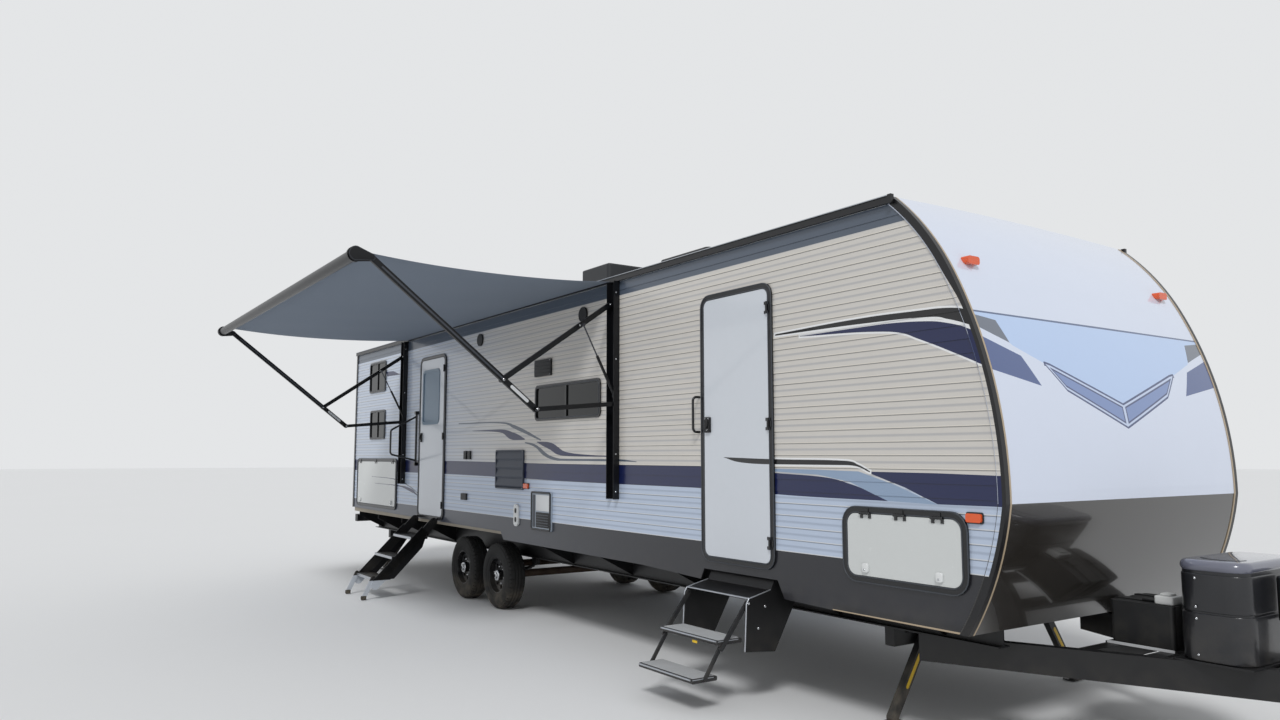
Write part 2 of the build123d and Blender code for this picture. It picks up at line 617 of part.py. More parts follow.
# Frame: two I-beams, cross tubes, tapered outriggers under the floor edges, rear bumper
with BuildPart() as chassis:
    for side in (-1, 1):
        with BuildSketch(Plane.YZ.offset(REAR_X - BUMPER / 2)):
            for level in (FRAME_BOTTOM_Z + RAIL_PLATE / 2, FRAME_TOP_Z - RAIL_PLATE / 2):
                with Locations((side * RAIL_Y, level)):
                    Rectangle(RAIL_FLANGE, RAIL_PLATE)
            with Locations((side * RAIL_Y, FRAME_BOTTOM_Z + FRAME_DEPTH / 2)):
                Rectangle(RAIL_PLATE, FRAME_DEPTH)
        extrude(amount=BODY_LENGTH + BUMPER / 2 + RAIL_FRONT_X)
        for place in OUTRIGGER_X:
            with BuildSketch(Plane.YZ.offset(place)):
                with BuildLine():
                    Polyline(
                        (side * RAIL_Y, FRAME_TOP_Z),
                        (side * (HALF_WIDTH - SHELL), FRAME_TOP_Z),
                        (side * (HALF_WIDTH - SHELL), FRAME_TOP_Z - OUTRIGGER_TIP),
                        (side * RAIL_Y, FRAME_BOTTOM_Z + RAIL_PLATE),
                        close=True,
                    )
                make_face()
            extrude(amount=RAIL_PLATE)
    for place in CROSS_X:
        with BuildSketch(Plane.XZ.offset(-RAIL_Y)):
            with Locations((place, FRAME_TOP_Z - CROSS_TUBE / 2 - RAIL_PLATE)):
                Rectangle(CROSS_TUBE, CROSS_TUBE)
        extrude(amount=2 * RAIL_Y)
    with BuildSketch(Plane.XZ.offset(-BUMPER_HALF)):
        with Locations((REAR_X - BUMPER / 2 - TRIM_SIDE, BUMPER_Z)):
            RectangleRounded(BUMPER, BUMPER, TRIM_SIDE)
    extrude(amount=2 * BUMPER_HALF)
    for place in LEG_X:
        with BuildSketch(Plane.XZ.offset(-LEG_TUBE_HALF)):
            with Locations((place, LEG_PIVOT[1])):
                Rectangle(LEG_TUBE, LEG_TUBE)
        extrude(amount=2 * LEG_TUBE_HALF)
        for side in (-1, 1):
            with BuildSketch(Plane.XY.offset(LEG_PIVOT[1])):
                with Locations((place, side * RAIL_Y)):
                    Rectangle(LEG_TUBE, RAIL_FLANGE)
            extrude(amount=FRAME_BOTTOM_Z - LEG_PIVOT[1])
            with BuildSketch(Plane.YZ.offset(place)):
                with Locations((side * LEG_PIVOT[0], LEG_PIVOT[1])):
                    Circle(PIN_RADIUS)
            extrude(amount=LEG_TUBE / 2 + STEP_LANE_GAP + LEG_THICK)
keep(chassis, "chassis")

# Drawbar: two converging box rails under the frame, trays, cross tie and ball coupler
BAR_RUN = math.hypot(BAR_FRONT[0] - BAR_REAR[0], BAR_FRONT[1] - BAR_REAR[1])
BAR_TURN = math.degrees(math.atan2(BAR_REAR[1] - BAR_FRONT[1], BAR_FRONT[0] - BAR_REAR[0]))
BAR_MIDDLE = ((BAR_REAR[0] + BAR_FRONT[0]) / 2, (BAR_REAR[1] + BAR_FRONT[1]) / 2)


def bar_half_width(x):
    """Half the distance between the drawbar rails' centre lines at x."""
    share = (x - BAR_REAR[0]) / (BAR_FRONT[0] - BAR_REAR[0])
    return BAR_REAR[1] + share * (BAR_FRONT[1] - BAR_REAR[1])


with BuildPart() as drawbar:
    with BuildSketch(Plane.XY.offset(BAR_TOP_Z)):
        for side in (-1, 1):
            with Locations((BAR_MIDDLE[0], side * BAR_MIDDLE[1])):
                Rectangle(BAR_RUN, BAR_WIDTH, rotation=-side * BAR_TURN)
    extrude(amount=-BAR_DEPTH)
    for place in TRAY_TIES:
        with BuildSketch(Plane.XZ.offset(-bar_half_width(place))):
            with Locations((place, BAR_TOP_Z - CROSS_TUBE / 2)):
                Rectangle(CROSS_TUBE, CROSS_TUBE)
        extrude(amount=2 * bar_half_width(place))
    for place, length, width in TRAYS:
        with BuildSketch(Plane.XY.offset(BAR_TOP_Z)):
            with Locations((place, 0)):
                Rectangle(length, width)
        extrude(amount=TRAY)
    with BuildSketch(Plane.XY.offset(BAR_TOP_Z)):
        with Locations((JACK_X, 0)):
            Rectangle(JACK_PLATE, 2 * bar_half_width(JACK_X))
            Circle(JACK_TUBE + RUN_GAP, mode=Mode.SUBTRACT)
    extrude(amount=-TRAY)
    with BuildSketch(Plane.XY.offset(SOCKET_Z - COUPLER_RADIUS)):
        with BuildLine():
            Polyline(
                (BAR_FRONT[0] - COUPLER_LAP, bar_half_width(BAR_FRONT[0] - COUPLER_LAP)),
                (BAR_FRONT[0], BAR_FRONT[1] + BAR_WIDTH / 2),
                (SOCKET_X, COUPLER_RADIUS),
                (SOCKET_X, -COUPLER_RADIUS),
                (BAR_FRONT[0], -BAR_FRONT[1] - BAR_WIDTH / 2),
                (BAR_FRONT[0] - COUPLER_LAP, -bar_half_width(BAR_FRONT[0] - COUPLER_LAP)),
                close=True,
            )
        make_face()
        with Locations((SOCKET_X, 0)):
            Circle(COUPLER_RADIUS)
    extrude(amount=2 * COUPLER_RADIUS)
    with Locations((SOCKET_X, 0, SOCKET_Z + COUPLER_RADIUS)):
        Sphere(COUPLER_RADIUS)
    with BuildSketch(Plane.XY.offset(SOCKET_Z - COUPLER_RADIUS)):
        with Locations((SOCKET_X, 0)):
            Circle(SOCKET_RADIUS)
    extrude(amount=SOCKET_DEPTH, mode=Mode.SUBTRACT)
    with BuildSketch(Plane.XZ.offset(-LATCH_WIDTH / 2)):
        with BuildLine():
            Polyline(*LATCH_SHAPE, close=True)
        make_face()
    extrude(amount=LATCH_WIDTH)
keep(drawbar, "drawbar")

# Gas bottle cover and the two battery boxes on the trays
with BuildPart() as tank_cover:
    for inset, mode in ((0, Mode.ADD), (TANK_WALL, Mode.SUBTRACT)):
        with BuildSketch(Plane.XY.offset(BAR_TOP_Z + TRAY)):
            with Locations((TANK_X, 0)):
                SlotOverall(TANK_WIDTH - 2 * inset, TANK_LENGTH - 2 * inset, rotation=90)
        extrude(amount=TANK_SHOULDER_Z - BAR_TOP_Z - TRAY, mode=mode)
        with BuildSketch(Plane.XY.offset(TANK_SHOULDER_Z)):
            with Locations((TANK_X, 0)):
                SlotOverall(TANK_WIDTH - 2 * inset, TANK_LENGTH - 2 * inset, rotation=90)
        with BuildSketch(Plane.XY.offset(TANK_TOP_Z - inset)):
            with Locations((TANK_X, 0)):
                SlotOverall(
                    TANK_WIDTH - TANK_DRAW - 2 * inset, TANK_LENGTH - TANK_DRAW - 2 * inset, rotation=90
                )
        loft(mode=mode)
keep(tank_cover, "tank_cover")

BATTERY_PLACES = [(BATTERY_X, hand * (BATTERY[1] + BATTERY_GAP) / 2) for hand in (-1, 1)]
with BuildPart() as batteries:
    for base, lip, height in ((0, 0, BATTERY[2]), (BATTERY_LID_Z, BATTERY_LIP, BATTERY[2] - BATTERY_LID_Z)):
        with BuildSketch(Plane.XY.offset(BAR_TOP_Z + TRAY + base)):
            with Locations(*BATTERY_PLACES):
                RectangleRounded(BATTERY[0] + lip, BATTERY[1] + lip, 3 * TRIM_SIDE)
        extrude(amount=height)
keep(batteries, "battery_boxes")

# Tongue jack standing on its foot: foot plate, inner tube, outer tube and motor head
with BuildPart() as jack:
    with BuildSketch():
        with Locations((JACK_X, 0)):
            RectangleRounded(JACK_FOOT, JACK_FOOT, 2 * TRIM_SIDE)
    extrude(amount=TRAY)
    with BuildSketch():
        with Locations((JACK_X, 0)):
            Circle(JACK_INNER)
    extrude(amount=JACK_HEAD_Z)
    with BuildSketch(Plane.XY.offset(JACK_OUTER_Z)):
        with Locations((JACK_X, 0)):
            Circle(JACK_TUBE)
    extrude(amount=JACK_HEAD_Z - JACK_OUTER_Z)
    with BuildSketch(Plane.XY.offset(BAR_TOP_Z)):
        with Locations((JACK_X, 0)):
            Circle(JACK_PLATE / 2 - TRIM_SIDE)
    extrude(amount=TRAY)
    with BuildSketch(Plane.XY.offset(JACK_HEAD_Z)):
        with Locations((JACK_X, 0)):
            RectangleRounded(JACK_HEAD[0], JACK_HEAD[1], 4 * TRIM_SIDE)
    extrude(amount=JACK_HEAD[2])
    fillet(jack.faces().sort_by(Axis.Z)[-1].edges(), 2 * TRIM_SIDE)
keep(jack, "tongue_jack")

# Running gear: two axle tubes with their spindles, and the leaf springs on hangers
with BuildPart() as axles:
    for place in AXLE_X:
        with BuildSketch(Plane.XZ.offset(-WHEEL_Y + RIM_WIDTH / 2)):
            with Locations((place, TYRE_RADIUS)):
                Circle(AXLE_RADIUS)
        extrude(amount=2 * WHEEL_Y - RIM_WIDTH)
        with BuildSketch(Plane.XZ.offset(-WHEEL_Y - HUB_RADIUS)):
            with Locations((place, TYRE_RADIUS)):
                Circle(SPINDLE_RADIUS)
        extrude(amount=2 * (WHEEL_Y + HUB_RADIUS))
        for side in (-1, 1):
            with BuildSketch(Plane.XZ.offset(-side * (WHEEL_Y - RIM_WIDTH / 2 - DRUM_GAP))):
                with Locations((place, TYRE_RADIUS)):
                    Circle(DRUM_RADIUS)
            extrude(amount=DRUM, dir=(0, -side, 0))
keep(axles, "axles")

SPRING_Z = TYRE_RADIUS + AXLE_RADIUS + RUN_GAP
with BuildPart() as springs:
    for side in (-1, 1):
        for place in AXLE_X:
            for leaf in range(SPRING_LEAVES):
                reach = SPRING_HALF - leaf * SPRING_HALF / (SPRING_LEAVES + 1)
                rise = SPRING_RISE * (reach / SPRING_HALF) ** 2
                low = SPRING_Z + (SPRING_LEAVES - 1 - leaf) * LEAF
                with BuildSketch(Plane.XZ.offset(-side * RAIL_Y - SPRING_WIDTH / 2)):
                    with BuildLine():
                        tips = [(place - reach, low + rise), (place + reach, low + rise)]
                        under = ThreePointArc(tips[0], (place, low), tips[1])
                        tips = [(place + reach, low + rise + LEAF), (place - reach, low + rise + LEAF)]
                        above = ThreePointArc(tips[0], (place, low + LEAF), tips[1])
                        Line(under @ 1, above @ 0)
                        Line(above @ 1, under @ 0)
                    make_face()
                extrude(amount=SPRING_WIDTH)
            with BuildSketch(Plane.XZ.offset(-side * RAIL_Y - SPRING_WIDTH / 2)):
                eye_z = SPRING_Z + SPRING_RISE + (SPRING_LEAVES - 0.5) * LEAF
                with Locations((place - SPRING_HALF, eye_z), (place + SPRING_HALF, eye_z)):
                    Circle(EYE_RADIUS)
            extrude(amount=SPRING_WIDTH)
        for place, hanger_reach in HANGERS:
            with BuildSketch(Plane.XZ.offset(-side * RAIL_Y - SPRING_WIDTH / 2)):
                with BuildLine():
                    Polyline(
                        (place - HANGER, FRAME_BOTTOM_Z),
                        (place + HANGER, FRAME_BOTTOM_Z),
                        (place + hanger_reach, eye_z),
                        (place - hanger_reach, eye_z),
                        close=True,
                    )
                make_face()
            extrude(amount=SPRING_WIDTH)
keep(springs, "springs")

# Wheels: a tyre that is hollow behind its tread, and a dished steel rim with a hub
WHEELS = []
for place, row in zip(AXLE_X, ("front", "rear")):
    for side, hand in ((-1, "curb"), (1, "road")):
        WHEELS.append((place, side, f"{row}_{hand}"))

# Tyre sections across the wheel, as place from the middle and radius: outer skin, then the hollow
TYRE_OUTSIDE = [
    (BEAD_HALF, RIM_RADIUS),
    (TYRE_WIDTH / 2, TYRE_BULGE),
    (TREAD_HALF, TYRE_SHOULDER),
    (TREAD_HALF - TYRE_WALL, TYRE_RADIUS),
]
TYRE_INSIDE = [
    (BEAD_HALF, RIM_RADIUS),
    (BEAD_HALF - TYRE_WALL, RIM_RADIUS),
    (TYRE_WIDTH / 2 - TYRE_WALL, TYRE_BULGE),
    (TREAD_HALF - TYRE_WALL, TYRE_RADIUS - TYRE_WALL),
]


def tyre_body(sections):
    """Ring of flat facets through the sections and their mirror images, as far in as the axis."""
    with BuildPart() as body:
        for across, radius in sections + [(-across, radius) for across, radius in reversed(sections)]:
            with BuildSketch(Plane.XZ.offset(across)):
                RegularPolygon(radius, TYRE_SIDES, major_radius=False, rotation=180 / TYRE_SIDES)
        loft(ruled=True)
    return body.part


with BuildPart() as tyre:
    add(tyre_body(TYRE_OUTSIDE))
    add(tyre_body(TYRE_INSIDE), mode=Mode.SUBTRACT)

for place, side, name in WHEELS:
    with BuildPart() as placed_tyre:
        add(Pos(place, side * WHEEL_Y, TYRE_RADIUS) * tyre.part)
    keep(placed_tyre, f"tyre_{name}")

    with BuildPart() as rim:
        with BuildSketch(Plane.YZ):
            with BuildLine():
                Polyline(
                    (-RIM_WIDTH / 2, RIM_RADIUS),
                    (RIM_WIDTH / 2, RIM_RADIUS),
                    (RIM_WIDTH / 2, RIM_RADIUS - RIM_WALL),
                    (DISC_Y + 2 * RIM_WALL, RIM_RADIUS - 3 * RIM_WALL),
                    (DISC_Y + RIM_WALL, RIM_HOLE_CIRCLE),
                    (DISC_Y + 2 * RIM_WALL, HUB_RADIUS),
                    (RIM_WIDTH / 2 - RIM_WALL, HUB_RADIUS - RIM_WALL), (RIM_WIDTH / 2, HUB_CAP),
                    (RIM_WIDTH / 2, 0), (HUB_RADIUS + RUN_GAP, 0),
                    (HUB_RADIUS + RUN_GAP, SPINDLE_RADIUS + SPINDLE_GAP),
                    (-RIM_WALL, SPINDLE_RADIUS + SPINDLE_GAP), (-RIM_WALL, HUB_RADIUS),
                    (DISC_Y, HUB_RADIUS), (DISC_Y - RIM_WALL, RIM_HOLE_CIRCLE),
                    (DISC_Y - RIM_WALL, RIM_RADIUS - 3 * RIM_WALL), (-RIM_WIDTH / 2, RIM_RADIUS - RIM_WALL),
                    close=True,
                )
            make_face()
        revolve(axis=Axis.Y)
        with BuildSketch(Plane.XZ):
            with PolarLocations(RIM_HOLE_CIRCLE, RIM_HOLES):
                Circle(RIM_HOLE)
        extrude(amount=RIM_WIDTH, both=True, mode=Mode.SUBTRACT)
    with BuildPart() as placed_rim:
        add(Pos(place, side * WHEEL_Y, TYRE_RADIUS) * Rot(0, 0, 0 if side > 0 else 180) * rim.part)
    keep(placed_rim, f"rim_{name}")


def hinge_places(limits, upright):
    """Three places along a leaf's hinge line."""
    start, end = (limits[2], limits[3]) if upright else (limits[0], limits[1])
    inset = HINGE_INSET + limits[4]
    return (start + inset, (start + end) / 2, end - inset)


def hinge_parts(limits, side, upright, moving):
    """Knuckles and straps of a leaf's three hinges, for the frame or for the moving leaf."""
    face_y = side * (HALF_WIDTH + FLANGE_THICK)
    axis_y = face_y + side * HINGE_OFFSET
    edge = limits[1] if upright else limits[3]
    line = edge + LEAF_GAP / 2
    spans = [(-KNUCKLE / 2, KNUCKLE / 2)]
    if moving:
        spans = [(KNUCKLE / 2 + RUN_GAP, KNUCKLE), (-KNUCKLE, -KNUCKLE / 2 - RUN_GAP)]
    tab = -HINGE_TAB if moving else HINGE_TAB
    with BuildPart() as hinges:
        for place in hinge_places(limits, upright):
            for low, high in spans:
                if upright:
                    with BuildSketch(Plane.XY.offset(place + low)):
                        with Locations((line, axis_y)):
                            Circle(HINGE_RADIUS)
                        with Locations((line + tab / 2, face_y + side * (HINGE_PLATE / 2))):
                            Rectangle(HINGE_TAB, HINGE_PLATE)
                else:
                    with BuildSketch(Plane.YZ.offset(place + low)):
                        with Locations((axis_y, line)):
                            Circle(HINGE_RADIUS)
                        with Locations((face_y + side * (HINGE_PLATE / 2), line + tab / 2)):
                            Rectangle(HINGE_PLATE, HINGE_TAB)
                extrude(amount=high - low)
    return hinges.part


# Hinged leaves: limits, side, upright hinge line or not, node name
LEAVES = [
    (FRONT_DOOR, -1, True, "door_front"),
    (REAR_DOOR, -1, True, "door_rear"),
    (BAGGAGE, -1, False, "hatch_curb"),
    (BAGGAGE, 1, False, "hatch_road"),
    (KITCHEN, -1, False, "hatch_kitchen"),
]

# Black frames of the doors and hatches, each with the fixed half of its hinges
frame_parts = []
for limits, side, upright, name in LEAVES:
    with BuildPart() as surround:
        with BuildSketch(Plane.XZ.offset(-side * HALF_WIDTH)):
            rounded(grown(limits, LEAF_HOLE + FLANGE))
            rounded(grown(limits, LEAF_GAP), mode=Mode.SUBTRACT)
        extrude(amount=FLANGE_THICK, dir=(0, side, 0))
        with BuildSketch(Plane.XZ.offset(-side * HALF_WIDTH)):
            rounded(grown(limits, LEAF_HOLE))
            rounded(grown(limits, LEAF_GAP), mode=Mode.SUBTRACT)
        extrude(amount=SHELL, dir=(0, -side, 0))
        add(hinge_parts(limits, side, upright, False))
    frame_parts.append(surround.part)

with BuildPart() as door_frames:
    for frame_part in frame_parts:
        add(frame_part)
keep(door_frames, "door_frames")

# Short fixed grab handle behind the front door
with BuildPart() as grab_handle:
    with BuildLine(Plane.YZ.offset(GRAB_X)):
        FilletPolyline(
            (-HALF_WIDTH, GRAB_Z[0]), (-HALF_WIDTH - GRAB_REACH, GRAB_Z[0]),
            (-HALF_WIDTH - GRAB_REACH, GRAB_Z[1]), (-HALF_WIDTH, GRAB_Z[1]),
            radius=GRAB_REACH / 2,
        )
    with BuildSketch(Plane((GRAB_X, -HALF_WIDTH, GRAB_Z[0]), z_dir=(0, -1, 0))):
        Circle(GRAB_TUBE)
    sweep()
bracket_parts = [grab_handle.part]

# Lugs of the ladder steps under the rear door, and the two blocks that hold the hand rail
with BuildPart() as ladder_lugs:
    for side in (-1, 1):
        with BuildSketch(Plane.YZ.offset(LADDER_X + side * (LADDER_WIDTH / 2 + STEP_LANE_GAP))):
            link(LADDER_LUG, LADDER_PIVOT, LADDER_LUG_WIDTH)
        extrude(amount=side * TRIM_SIDE)
        with BuildSketch(Plane.YZ.offset(LADDER_X + side * (LADDER_WIDTH / 2 + STEP_LANE_GAP))):
            with Locations(LADDER_PIVOT):
                Circle(PIN_RADIUS)
        extrude(amount=-side * (STEP_LANE_GAP + LADDER_SIDE))
    for level in RAIL_Z:
        with BuildSketch(Plane.XY.offset(level - RAIL_BLOCK / 2)):
            with Locations((RAIL_HINGE_X, (RAIL_HINGE_Y - HALF_WIDTH - RAIL_BLOCK / 2) / 2)):
                Rectangle(RAIL_BLOCK, RAIL_BLOCK / 2 - RAIL_HINGE_Y - HALF_WIDTH)
            with Locations((RAIL_HINGE_X, RAIL_HINGE_Y)):
                Circle(RAIL_POST + RUN_GAP, mode=Mode.SUBTRACT)
        extrude(amount=RAIL_BLOCK)
bracket_parts.append(ladder_lugs.part)

with BuildPart() as wall_brackets:
    for bracket_part in bracket_parts:
        add(bracket_part)
keep(wall_brackets, "wall_brackets")

# The leaves themselves, each with its latch, its half of the hinges, and the rear door's window hole
for limits, side, upright, name in LEAVES:
    moving_hinges = hinge_parts(limits, side, upright, True)
    with BuildPart() as leaf:
        with BuildSketch(Plane.XZ.offset(-side * (HALF_WIDTH + FLANGE_THICK))):
            rounded(limits)
            if name == "door_rear":
                rounded(REAR_DOOR_WINDOW, mode=Mode.SUBTRACT)
        extrude(amount=LEAF_THICK, dir=(0, -side, 0))
        with BuildSketch(Plane.XZ.offset(-side * (HALF_WIDTH + FLANGE_THICK))):
            if upright:
                with Locations((limits[0] + LATCH_INSET, DOOR_LATCH_Z)):
                    RectangleRounded(LATCH[0], LATCH[1], TRIM_SIDE)
            else:
                span = (limits[1] - limits[0]) / 2 - 3 * LATCH_INSET
                for shift in (-span, span):
                    with Locations(((limits[0] + limits[1]) / 2 + shift, limits[2] + LATCH_INSET)):
                        Circle(THUMB_LATCH)
        extrude(amount=LATCH_PROUD, dir=(0, side, 0))
        add(moving_hinges)
    keep(leaf, name)

# Windows: black frames with a slider bar, and tinted panes
window_frames = []
window_panes = []
for side, windows in ((-1, CURB_WINDOWS), (1, ROAD_WINDOWS)):
    for limits in windows:
        with BuildPart() as surround:
            with BuildSketch(Plane.XZ.offset(-side * HALF_WIDTH)):
                rounded(limits)
                rounded(grown(limits, -WINDOW_FLANGE), mode=Mode.SUBTRACT)
                with Locations(((limits[0] + limits[1]) / 2, (limits[2] + limits[3]) / 2)):
                    Rectangle(WINDOW_BAR, limits[3] - limits[2] - WINDOW_FLANGE)
            extrude(amount=FLANGE_THICK, dir=(0, side, 0))
            with BuildSketch(Plane.XZ.offset(-side * HALF_WIDTH)):
                rounded(grown(limits, WINDOW_HOLE))
                rounded(grown(limits, -WINDOW_FLANGE), mode=Mode.SUBTRACT)
            extrude(amount=SHELL, dir=(0, -side, 0))
        window_frames.append(surround.part)
        with BuildPart() as pane:
            with BuildSketch(Plane.XZ.offset(-side * HALF_WIDTH)):
                rounded(grown(limits, -WINDOW_FLANGE))
            extrude(amount=GLASS, dir=(0, -side, 0))
        window_panes.append(pane.part)

with BuildPart() as frames_of_windows:
    for frame_part in window_frames:
        add(frame_part)
keep(frames_of_windows, "window_frames")
with BuildPart() as panes_of_windows:
    for pane_part in window_panes:
        add(pane_part)
keep(panes_of_windows, "window_panes")

# Window of the rear door: a black ring that clamps the pane in the leaf
with BuildPart() as door_window:
    with BuildSketch(Plane.XZ.offset(HALF_WIDTH + FLANGE_THICK)):
        rounded(grown(REAR_DOOR_WINDOW, WINDOW_FLANGE))
        rounded(grown(REAR_DOOR_WINDOW, -WINDOW_JAMB), mode=Mode.SUBTRACT)
    extrude(amount=TRIM_SIDE)
    with BuildSketch(Plane.XZ.offset(HALF_WIDTH + FLANGE_THICK)):
        rounded(REAR_DOOR_WINDOW)
        rounded(grown(REAR_DOOR_WINDOW, -WINDOW_JAMB), mode=Mode.SUBTRACT)
    extrude(amount=-LEAF_THICK)
    with BuildSketch(Plane.XZ.offset(HALF_WIDTH + FLANGE_THICK)):
        rounded(grown(REAR_DOOR_WINDOW, -WINDOW_JAMB))
    extrude(amount=-GLASS)
keep(door_window, "door_window")

# Bays behind the hatches: pass-through locker in front, outdoor kitchen bay at the rear
with BuildPart() as bays:
    with BuildSketch(Plane.XZ.offset(-HALF_WIDTH + SHELL)):
        with Locations((LOCKER_REAR_X, (FLOOR_TOP_Z + LOCKER_TOP_Z) / 2)):
            Rectangle(BAY_WALL, LOCKER_TOP_Z - FLOOR_TOP_Z)
        with Locations((LOCKER_REAR_X / 2, LOCKER_TOP_Z - BAY_WALL / 2)):
            Rectangle(-LOCKER_REAR_X, BAY_WALL)
        add(inner_outline, mode=Mode.INTERSECT)
    extrude(amount=2 * (HALF_WIDTH - SHELL))
    with BuildSketch(Plane.XZ.offset(HALF_WIDTH - SHELL)):
        rounded(grown(KITCHEN, LEAF_HOLE + BAY_WALL))
        rounded(grown(KITCHEN, LEAF_HOLE), mode=Mode.SUBTRACT)
    extrude(amount=-KITCHEN_DEPTH)
    with BuildSketch(Plane.XZ.offset(HALF_WIDTH - SHELL - KITCHEN_DEPTH)):
        rounded(grown(KITCHEN, LEAF_HOLE + BAY_WALL))
    extrude(amount=-BAY_WALL)
keep(bays, "bay_liners")

# Slide-out room: five walls, open to the cabin, with an outer and an inner lip
SLIDE_MIDDLE = (
    (SLIDE_BOX[0] + SLIDE_BOX[1]) / 2,
    (SLIDE_BOX[2] + SLIDE_BOX[3]) / 2,
)
SLIDE_SIZE = (SLIDE_BOX[1] - SLIDE_BOX[0], SLIDE_BOX[3] - SLIDE_BOX[2])
SLIDE_FACE_Y = HALF_WIDTH + SLIDE_OUT
with BuildPart() as slide_room:
    with BuildSketch(Plane.XZ.offset(-SLIDE_INNER_Y)):
        with Locations(SLIDE_MIDDLE):
            Rectangle(*SLIDE_SIZE)
            Rectangle(SLIDE_SIZE[0] - 2 * SLIDE_WALL, SLIDE_SIZE[1] - 2 * SLIDE_WALL, mode=Mode.SUBTRACT)
    extrude(amount=-(SLIDE_FACE_Y - SLIDE_INNER_Y))
    with BuildSketch(Plane.XZ.offset(-SLIDE_FACE_Y)):
        with Locations(SLIDE_MIDDLE):
            Rectangle(*SLIDE_SIZE)
        rounded(grown(SLIDE_WINDOW, WINDOW_HOLE), mode=Mode.SUBTRACT)
    extrude(amount=SLIDE_WALL)
    for start in (SLIDE_INNER_Y, SLIDE_FACE_Y - SLIDE_LIP_THICK):
        lower = SLIDE_LIP if start > HALF_WIDTH else 0
        with BuildSketch(Plane.XZ.offset(-start)):
            with Locations((SLIDE_MIDDLE[0], SLIDE_MIDDLE[1] + (SLIDE_LIP - lower) / 2)):
                Rectangle(SLIDE_SIZE[0] + 2 * SLIDE_LIP, SLIDE_SIZE[1] + SLIDE_LIP + lower)
            with Locations(SLIDE_MIDDLE):
                Rectangle(*SLIDE_SIZE, mode=Mode.SUBTRACT)
        extrude(amount=-SLIDE_LIP_THICK)
keep(slide_room, "slide_room")

with BuildPart() as slide_window:
    with BuildSketch(Plane.XZ.offset(-SLIDE_FACE_Y)):
        rounded(SLIDE_WINDOW)
        rounded(grown(SLIDE_WINDOW, -WINDOW_FLANGE), mode=Mode.SUBTRACT)
    extrude(amount=-FLANGE_THICK)
    with BuildSketch(Plane.XZ.offset(-SLIDE_FACE_Y)):
        rounded(grown(SLIDE_WINDOW, WINDOW_HOLE))
        rounded(grown(SLIDE_WINDOW, -WINDOW_FLANGE), mode=Mode.SUBTRACT)
    extrude(amount=SLIDE_WALL)
    with BuildSketch(Plane.XZ.offset(-SLIDE_FACE_Y)):
        rounded(grown(SLIDE_WINDOW, -WINDOW_FLANGE))
    extrude(amount=GLASS)
keep(slide_window, "slide_window")

# Black plastic fittings on the walls: louvred fridge vent, range vent, speakers, small covers
with BuildPart() as vents:
    with BuildSketch(Plane.XZ.offset(HALF_WIDTH)):
        rounded(FRIDGE_VENT)
        rounded(grown(FRIDGE_VENT, -VENT_RIM), mode=Mode.SUBTRACT)
    extrude(amount=VENT_PROUD)
    louvre_step = (FRIDGE_VENT[3] - FRIDGE_VENT[2] - 2 * VENT_RIM) / LOUVRES
    with BuildSketch(Plane.YZ.offset(FRIDGE_VENT[0] + VENT_RIM)):
        for louvre in range(LOUVRES):
            foot = FRIDGE_VENT[2] + VENT_RIM + louvre * louvre_step
            with BuildLine():
                Polyline(
                    (-HALF_WIDTH, foot + louvre_step),
                    (-HALF_WIDTH - TRIM_PROUD, foot + louvre_step),
                    (-HALF_WIDTH - VENT_PROUD, foot + louvre_step / 3),
                    (-HALF_WIDTH - VENT_PROUD, foot + louvre_step / 4),
                    (-HALF_WIDTH - TRIM_PROUD, foot),
                    (-HALF_WIDTH, foot),
                    close=True,
                )
            make_face()
    extrude(amount=FRIDGE_VENT[1] - FRIDGE_VENT[0] - 2 * VENT_RIM)
    for cover in SMALL_COVERS:
        with BuildSketch(Plane.XZ.offset(HALF_WIDTH)):
            rounded(cover)
        extrude(amount=VENT_PROUD)
    with BuildSketch(Plane.XZ.offset(HALF_WIDTH)):
        with Locations(*SPEAKERS):
            Circle(SPEAKER_RADIUS)
    extrude(amount=VENT_PROUD)
    for cover in ROAD_COVERS:
        with BuildSketch(Plane.XZ.offset(-HALF_WIDTH)):
            rounded(cover)
        extrude(amount=-VENT_PROUD)
keep(vents, "vents")

# White service doors: water heater, inlet plate, and the service hatches of the road side
with BuildPart() as service_doors:
    for door in CURB_SERVICE:
        with BuildSketch(Plane.XZ.offset(HALF_WIDTH)):
            rounded(door)
        extrude(amount=VENT_PROUD)
    for door in ROAD_SERVICE:
        with BuildSketch(Plane.XZ.offset(-HALF_WIDTH)):
            rounded(door)
        extrude(amount=-VENT_PROUD)
keep(service_doors, "service_doors")

# Marker lamps on the sides and the cap, tail lamps and top lamps on the rear
with BuildPart() as lamps:
    for side, lamp in SIDE_LAMPS:
        with BuildSketch(Plane.XZ.offset(-side * HALF_WIDTH)):
            rounded(lamp)
        extrude(amount=VENT_PROUD, dir=(0, side, 0))
    for across, level, width, height in REAR_LAMPS:
        with BuildSketch(Plane.YZ.offset(REAR_X)):
            with Locations((-across, level), (across, level)):
                RectangleRounded(width, height, height / 3)
        extrude(amount=-REAR_LAMP_PROUD)
    for across in CAP_LAMPS:
        with BuildSketch(Plane.YZ.offset(SHOULDER[0] - SHELL)):
            with Locations((across, CAP_LAMP_Z)):
                RectangleRounded(CAP_LAMP[0], CAP_LAMP[1], CAP_LAMP[1] / 3)
        extrude(amount=SHELL)
    add(front_cap.part, mode=Mode.SUBTRACT)
keep(lamps, "lamps")

